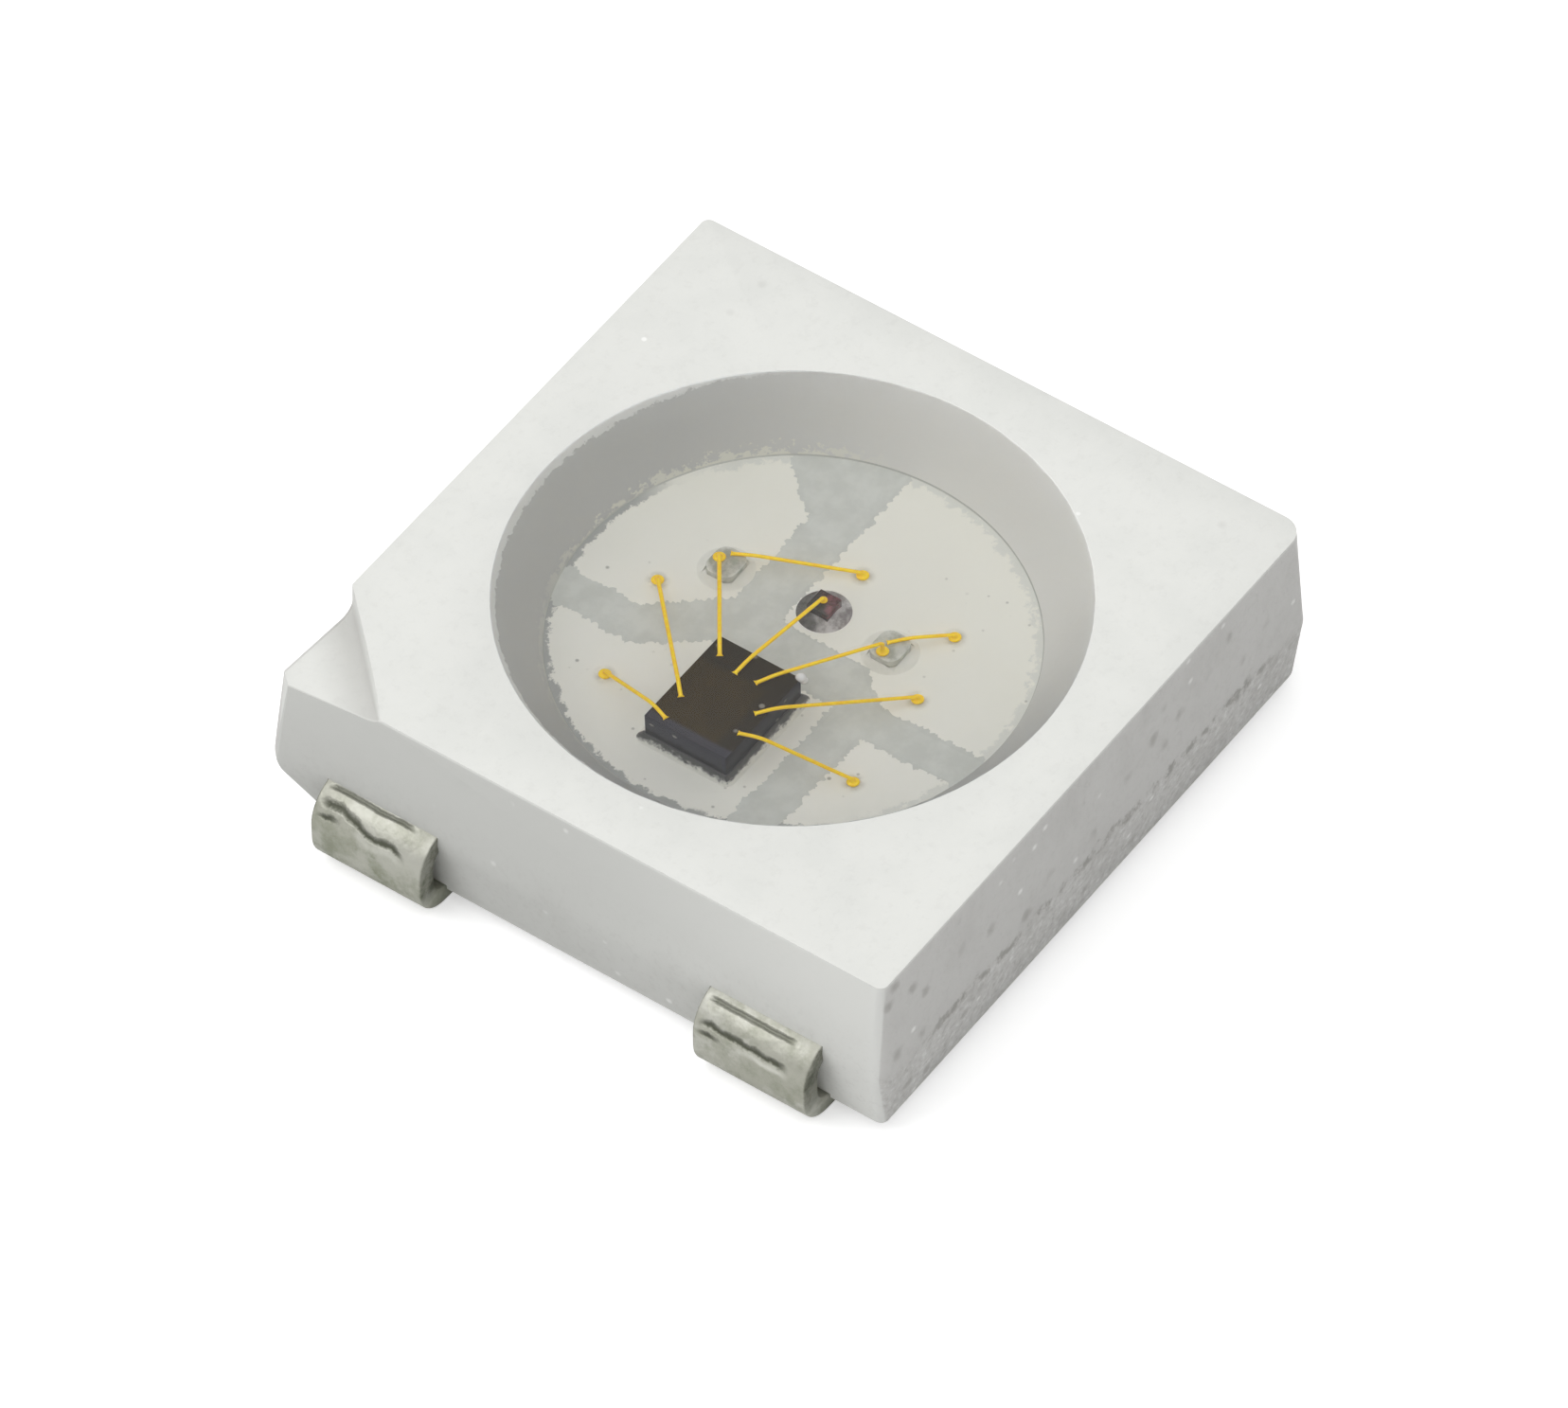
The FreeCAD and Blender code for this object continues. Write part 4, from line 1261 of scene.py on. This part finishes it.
@dataclass
class BondWire:
    """One gold wire from its ball to its stitch."""

    name: str
    start: Point
    end: Point
    rise: float = 0.06
    radius: float = 0.015
    ball_radius: float = 0.045
    ball_height: float = 0.035
    bend: float = 0.03
    knee_back: float = 0.11
    knee_height: float = 0.03
    knee_bend: float = 0.08
    tail_length: float = 0.04
    sides: int = 14
    corner_steps: int = 6

    def corners(self) -> list[tuple[Vector, float]]:
        """Place the corners of the wire in its own plane.

        Returns:
            Each corner with how far it is rounded.
        """
        span = (Vector(self.end[:2]) - Vector(self.start[:2])).length
        level = self.end[2] - self.start[2]
        tail = level + self.radius
        knee = span - self.tail_length - self.knee_back
        return [
            (Vector((0.0, 0.0, self.ball_height * 0.6)), 0.0),
            (Vector((0.0, 0.0, self.rise)), self.bend),
            (Vector((knee, 0.0, level + self.knee_height)), self.knee_bend),
            (Vector((span - self.tail_length, 0.0, tail)), self.bend),
            (Vector((span, 0.0, tail)), 0.0),
        ]

    def route(self) -> list[Vector]:
        """Round the corners.

        Returns:
            Points of the wire's centre line.
        """
        corners = self.corners()
        points = [corners[0][0]]
        for (before, _), (here, reach), (after, _) in zip(corners, corners[1:], corners[2:]):
            back = (before - here).normalized() * reach
            ahead = (after - here).normalized() * reach
            for step in range(self.corner_steps + 1):
                t = step / self.corner_steps
                points.append(
                    (here + back) * (1 - t) ** 2 + here * 2 * t * (1 - t) + (here + ahead) * t**2
                )
        points.append(corners[-1][0])
        return points

    def placement(self) -> Matrix:
        """Work out the turn and the shift from the wire's plane to its place.

        Returns:
            The matrix.
        """
        run = Vector(self.end[:2]) - Vector(self.start[:2])
        turn = Matrix.Rotation(math.atan2(run.y, run.x), 4, "Z")
        return Matrix.Translation(Vector(self.start) * MM) @ turn @ Matrix.Scale(MM, 4)

    def section(self, points: list[Vector], index: int) -> Matrix:
        """Place the wire's section at a point; the last two are pressed flat for the stitch.

        Args:
            points: Points of the centre line.
            index: Number of the point.

        Returns:
            The matrix that puts a flat ring there.
        """
        ahead = points[min(index + 1, len(points) - 1)] - points[max(index - 1, 0)]
        tilt = Matrix.Rotation(math.atan2(ahead.x, ahead.z), 4, "Y")
        pressed = {1: (0.35, 1.7, 1.0, 1.0), 2: (0.8, 1.15, 1.0, 1.0)}
        flat = Matrix.Diagonal(pressed.get(len(points) - index, (1.0, 1.0, 1.0, 1.0)))
        return Matrix.Translation(points[index]) @ tilt @ flat

    def sweep(self, mesh: Mesh) -> None:
        """Draw a round section out along the route.

        Args:
            mesh: The shape that the wire is added to.
        """
        points = self.route()
        ring = bmesh.ops.create_circle(
            mesh, cap_ends=True, radius=self.radius, segments=self.sides
        )["verts"]
        edges = list({edge for vert in ring for edge in vert.link_edges})
        inverse = Matrix.Identity(4)
        for index in range(len(points)):
            if index:
                geometry = bmesh.ops.extrude_edge_only(mesh, edges=edges)["geom"]
                ring = [item for item in geometry if isinstance(item, Vert)]
                fresh = set(ring)
                edges = [
                    item
                    for item in geometry
                    if isinstance(item, Edge) and set(item.verts) <= fresh
                ]
            section = self.section(points, index)
            bmesh.ops.transform(mesh, matrix=section @ inverse, verts=ring)
            inverse = section.inverted()
        bmesh.ops.contextual_create(mesh, geom=edges)

    def ball(self, mesh: Mesh) -> None:
        """Add the squashed ball under the start of the wire, and the cone on it.

        Args:
            mesh: The shape that the ball is added to.
        """
        squash = Matrix.Diagonal((1.0, 1.0, self.ball_height / 2 / self.ball_radius, 1.0))
        place = Matrix.Translation((0.0, 0.0, self.ball_height / 2)) @ squash
        bmesh.ops.create_uvsphere(
            mesh, u_segments=24, v_segments=12, radius=self.ball_radius, matrix=place
        )
        bmesh.ops.create_cone(
            mesh,
            cap_ends=True,
            segments=self.sides,
            radius1=self.radius * 1.9,
            radius2=self.radius * 1.05,
            depth=self.ball_height * 0.6,
            matrix=Matrix.Translation((0.0, 0.0, self.ball_height * 1.05)),
        )

    def build(self, material: Material) -> None:
        """Build the wire.

        Args:
            material: Its material.
        """
        mesh = bmesh.new()
        self.sweep(mesh)
        self.ball(mesh)
        bmesh.ops.transform(mesh, matrix=self.placement(), verts=mesh.verts)
        bmesh.ops.recalc_face_normals(mesh, faces=mesh.faces)
        publish(mesh, f"{self.name}_gold", material, self.name, 60.0)


@dataclass
class Filling:
    """The clear filling, which runs a hair into the wall and the floor so that no air shows."""

    edge_drop: float = 0.006
    sag: float = 0.045
    overlap: float = 0.008
    steps: int = 128
    shares: tuple[float, ...] = (0.97, 0.93, 0.86, 0.75, 0.6, 0.4, 0.2)

    def profile(self) -> list[Pair]:
        """Work out the outline from the middle of the floor to the middle of the top.

        Returns:
            Radius and level of each point.
        """
        edge = Level.TOP - self.edge_drop
        bottom = Level.FLOOR - self.overlap
        slope = (RIM_RADIUS - FOOT_RADIUS) / (Level.TOP - Level.FLOOR)
        edge_radius = RIM_RADIUS - self.edge_drop * slope
        points = [(0.0, bottom), (FOOT_RADIUS + self.overlap, bottom)]
        points.append((edge_radius + self.overlap, edge))
        for share in self.shares:
            sink = self.sag * (0.25 * (1 - share**14) + 0.75 * (1 - share**2))
            points.append((edge_radius * share, edge - sink))
        points.append((0.0, edge - self.sag))
        return points

    def build(self, finish: ClearResin) -> None:
        """Build the filling.

        Args:
            finish: Its finish.
        """
        mesh = bmesh.new()
        verts = [mesh.verts.new((r * MM, 0.0, z * MM)) for r, z in self.profile()]
        edges = [mesh.edges.new(pair) for pair in zip(verts, verts[1:])]
        bmesh.ops.spin(
            mesh,
            geom=verts + edges,
            cent=(0, 0, 0),
            axis=(0, 0, 1),
            angle=math.tau,
            steps=self.steps,
            use_merge=True,
        )
        bmesh.ops.remove_doubles(mesh, verts=mesh.verts, dist=1e-4 * MM)
        bmesh.ops.recalc_face_normals(mesh, faces=mesh.faces)
        node = "encapsulant"
        publish(mesh, "clear_filling", finish.material(), node, 35.0)


# Studio


@dataclass
class Studio:
    """Pale floor, soft light and the camera."""

    floor_size: float = 400.0
    floor_drop: float = 0.0005
    floor_glow: float = 0.45
    azimuth: float = -54.1844
    elevation: float = 49.1665
    roll: float = 0.6366
    distance: float = 96.418
    focal_pixels: float = 15251.1
    shift_pixels: Pair = (10.66, 41.54)
    sensor_width: float = 36.0
    key_direction: Point = (-0.50, 0.42, 0.76)
    key_distance: float = 240.0
    key_size: float = 150.0
    key_watts: float = 0.19
    sky_top: float = 1.66
    sky_side: float = 0.17
    sky_power: float = 1.5

    def floor(self) -> None:
        """Lay the pale floor."""
        mesh = bmesh.new()
        half = self.floor_size * MM / 2
        place = Matrix.Translation((0.0, 0.0, -self.floor_drop * MM))
        bmesh.ops.create_grid(mesh, x_segments=1, y_segments=1, size=half, matrix=place)
        data = bpy.data.meshes.new("studio_floor")
        mesh.to_mesh(data)
        mesh.free()
        tree = FinishTree("pale_floor")
        seen = tree.node("ShaderNodeLightPath", output="Is Camera Ray")
        paper = tree.node("ShaderNodeBsdfDiffuse", {}, {"Color": (0.80, 0.80, 0.80)})
        glow = {"Color": (1.0, 1.0, 1.0), "Strength": seen * self.floor_glow}
        bright = tree.node("ShaderNodeEmission", {}, glow)
        both = tree.node("ShaderNodeAddShader", {}, {0: paper, 1: bright})
        tree.close("ShaderNodeOutputMaterial", both)
        data.materials.append(tree.material)
        piece = bpy.data.objects.new("studio_floor", data)
        bpy.context.scene.collection.objects.link(piece)

    def sky(self) -> None:
        """Light the scene from a pale sky that is brighter overhead."""
        world = bpy.data.worlds.new("studio_sky")
        world.use_nodes = True
        bpy.context.scene.world = world
        tree = NodeTree(world.node_tree)
        way = tree.node("ShaderNodeTexCoord", output="Generated")
        height = tree.node("ShaderNodeSeparateXYZ", {}, {0: way}, "Z").most(0.0)
        seen = tree.node("ShaderNodeLightPath", output="Is Camera Ray")
        glow = height**self.sky_power * self.sky_top + self.sky_side
        strength = glow * (1.0 - seen) + seen
        sky = tree.node("ShaderNodeBackground", {}, {"Strength": strength})
        tree.close("ShaderNodeOutputWorld", sky)

    def lamp(self) -> None:
        """Hang the large soft lamp."""
        data = bpy.data.lights.new("key_lamp", "AREA")
        data.shape = "SQUARE"
        data.size = self.key_size * MM
        data.energy = self.key_watts
        lamp = bpy.data.objects.new("key_lamp", data)
        direction = Vector(self.key_direction).normalized()
        lamp.location = direction * self.key_distance * MM
        lamp.rotation_mode = "QUATERNION"
        lamp.rotation_quaternion = direction.to_track_quat("Z", "Y")
        bpy.context.scene.collection.objects.link(lamp)

    def camera(self) -> None:
        """Set the camera at the photograph's viewing angle."""
        azimuth, elevation, roll = map(math.radians, (self.azimuth, self.elevation, self.roll))
        back = Vector(
            (
                math.sin(azimuth) * math.cos(elevation),
                -math.cos(azimuth) * math.cos(elevation),
                math.sin(elevation),
            )
        )
        right = Vector((math.cos(azimuth), math.sin(azimuth), 0.0))
        up = back.cross(right)
        turned_right = right * math.cos(roll) - up * math.sin(roll)
        turned_up = right * math.sin(roll) + up * math.cos(roll)
        per_pixel = self.distance / self.focal_pixels
        place = (
            back * self.distance
            - turned_right * self.shift_pixels[0] * per_pixel
            + turned_up * self.shift_pixels[1] * per_pixel
        )
        data = bpy.data.cameras.new("view")
        data.sensor_width = self.sensor_width
        data.lens = self.focal_pixels / IMAGE_WIDTH * data.sensor_width
        data.clip_start = 1.0 * MM
        data.clip_end = 1000.0 * MM
        camera = bpy.data.objects.new("view", data)
        axes = Matrix((turned_right, turned_up, back)).transposed().to_4x4()
        camera.matrix_world = Matrix.Translation(place * MM) @ axes
        bpy.context.scene.collection.objects.link(camera)
        bpy.context.scene.camera = camera

    def build(self) -> None:
        """Set up floor, light and camera."""
        self.floor()
        self.sky()
        self.lamp()
        self.camera()
        bpy.context.scene.view_settings.view_transform = "Standard"


FLOOR, DRIVER_TOP, CRYSTAL_TOP = Level.FLOOR, Level.DRIVER_TOP, Level.CRYSTAL_TOP
WIRES = (
    BondWire("wire_vss", (-0.95, 0.86, FLOOR), (-1.19, 0.18, DRIVER_TOP)),
    BondWire("wire_dout", (-0.07, 1.06, FLOOR), (-0.98, 0.21, DRIVER_TOP)),
    BondWire("wire_green_drive", (0.285, 0.805, CRYSTAL_TOP), (-0.54, 0.21, DRIVER_TOP)),
    BondWire("wire_green_supply", (0.75, -0.04, FLOOR), (0.355, 0.76, CRYSTAL_TOP)),
    BondWire(
        "wire_red_drive", (0.35, 0.0, Level.RED_TOP), (-0.61, 0.04, DRIVER_TOP), ball_radius=0.03
    ),
    BondWire("wire_blue_drive", (0.225, -0.57, CRYSTAL_TOP), (-0.60, -0.12, DRIVER_TOP), rise=0.16),
    BondWire("wire_blue_supply", (0.65, -0.86, FLOOR), (0.305, -0.55, CRYSTAL_TOP)),
    BondWire("wire_vdd", (0.06, -0.97, FLOOR), (-0.82, -0.27, DRIVER_TOP)),
    BondWire("wire_din", (-0.78, -1.04, FLOOR), (-1.02, -0.28, DRIVER_TOP)),
)

# Each film follows the edge of its pad, from beyond the cup wall to beyond it again
PAD_FILMS = (
    Flash(
        "flash_dout",
        ((-0.325, 2.1), (-0.325, 1.02), (0.10, 0.54), (1.00, 0.54), (1.09, 0.70), (1.42, 1.02)),
    ),
    Flash(
        "flash_vss", ((-2.1, -0.56), (-0.29, -0.56), (-0.29, 0.49), (-0.605, 0.87), (-0.605, 2.1))
    ),
    Flash(
        "flash_vdd", ((2.1, 0.20), (0.10, 0.20), (0.10, -0.50), (-0.145, -0.78), (-0.145, -2.1))
    ),
    Flash("flash_din", ((-0.425, -2.1), (-0.425, -0.84), (-2.1, -0.84))),
)


def light_chips() -> None:
    """Build the three light chips: a small dark one and two pale, rounded ones."""
    silver = Adhesive("silver_glue", (0.24, 0.215, 0.22), (0.66, 0.64, 0.64), 0.6, RED_CENTRE)
    red = Crystal("red_crystal", (0.05, 0.016, 0.014), (0.24, 0.07, 0.08), 0.25, RED_CENTRE)
    LightChip("red", RED_CENTRE, (0.17, 0.17), Level.RED_TOP).build(red, silver)
    clear = Adhesive("light_glue", (0.965, 0.96, 0.895), (0.93, 0.93, 0.86), 0.5)
    pale = (
        ("green", GREEN_CENTRE, (0.62, 0.62, 0.56), (0.38, 0.40, 0.34)),
        ("blue", BLUE_CENTRE, (0.64, 0.65, 0.59), (0.41, 0.43, 0.37)),
    )
    for colour, centre, body, cloud in pale:
        crystal = Crystal(f"{colour}_crystal", body, cloud, 0.5, clear_from=centre)
        LightChip(colour, centre, (0.26, 0.23), CRYSTAL_TOP, 0.08).build(crystal, clear)


def main() -> None:
    """Build every piece, then the studio."""
    logging.basicConfig(level=logging.INFO, format="%(name)s: %(message)s")
    plastic = HousingPlastic().material()
    Housing().build(plastic)
    LeadFrame().build(Plating().material())
    for film in PAD_FILMS:
        film.build(plastic)
    DriverChip().build(Silicon(), DriverAdhesive())
    light_chips()
    Bead().build(Adhesive("bead_glue", (1.0, 1.0, 0.99), (0.95, 0.95, 0.95), 0.15))
    gold = WireGold().material()
    for wire in WIRES:
        wire.build(gold)
    Filling().build(ClearResin())
    Studio().build()


if __name__ == "__main__":
    main()
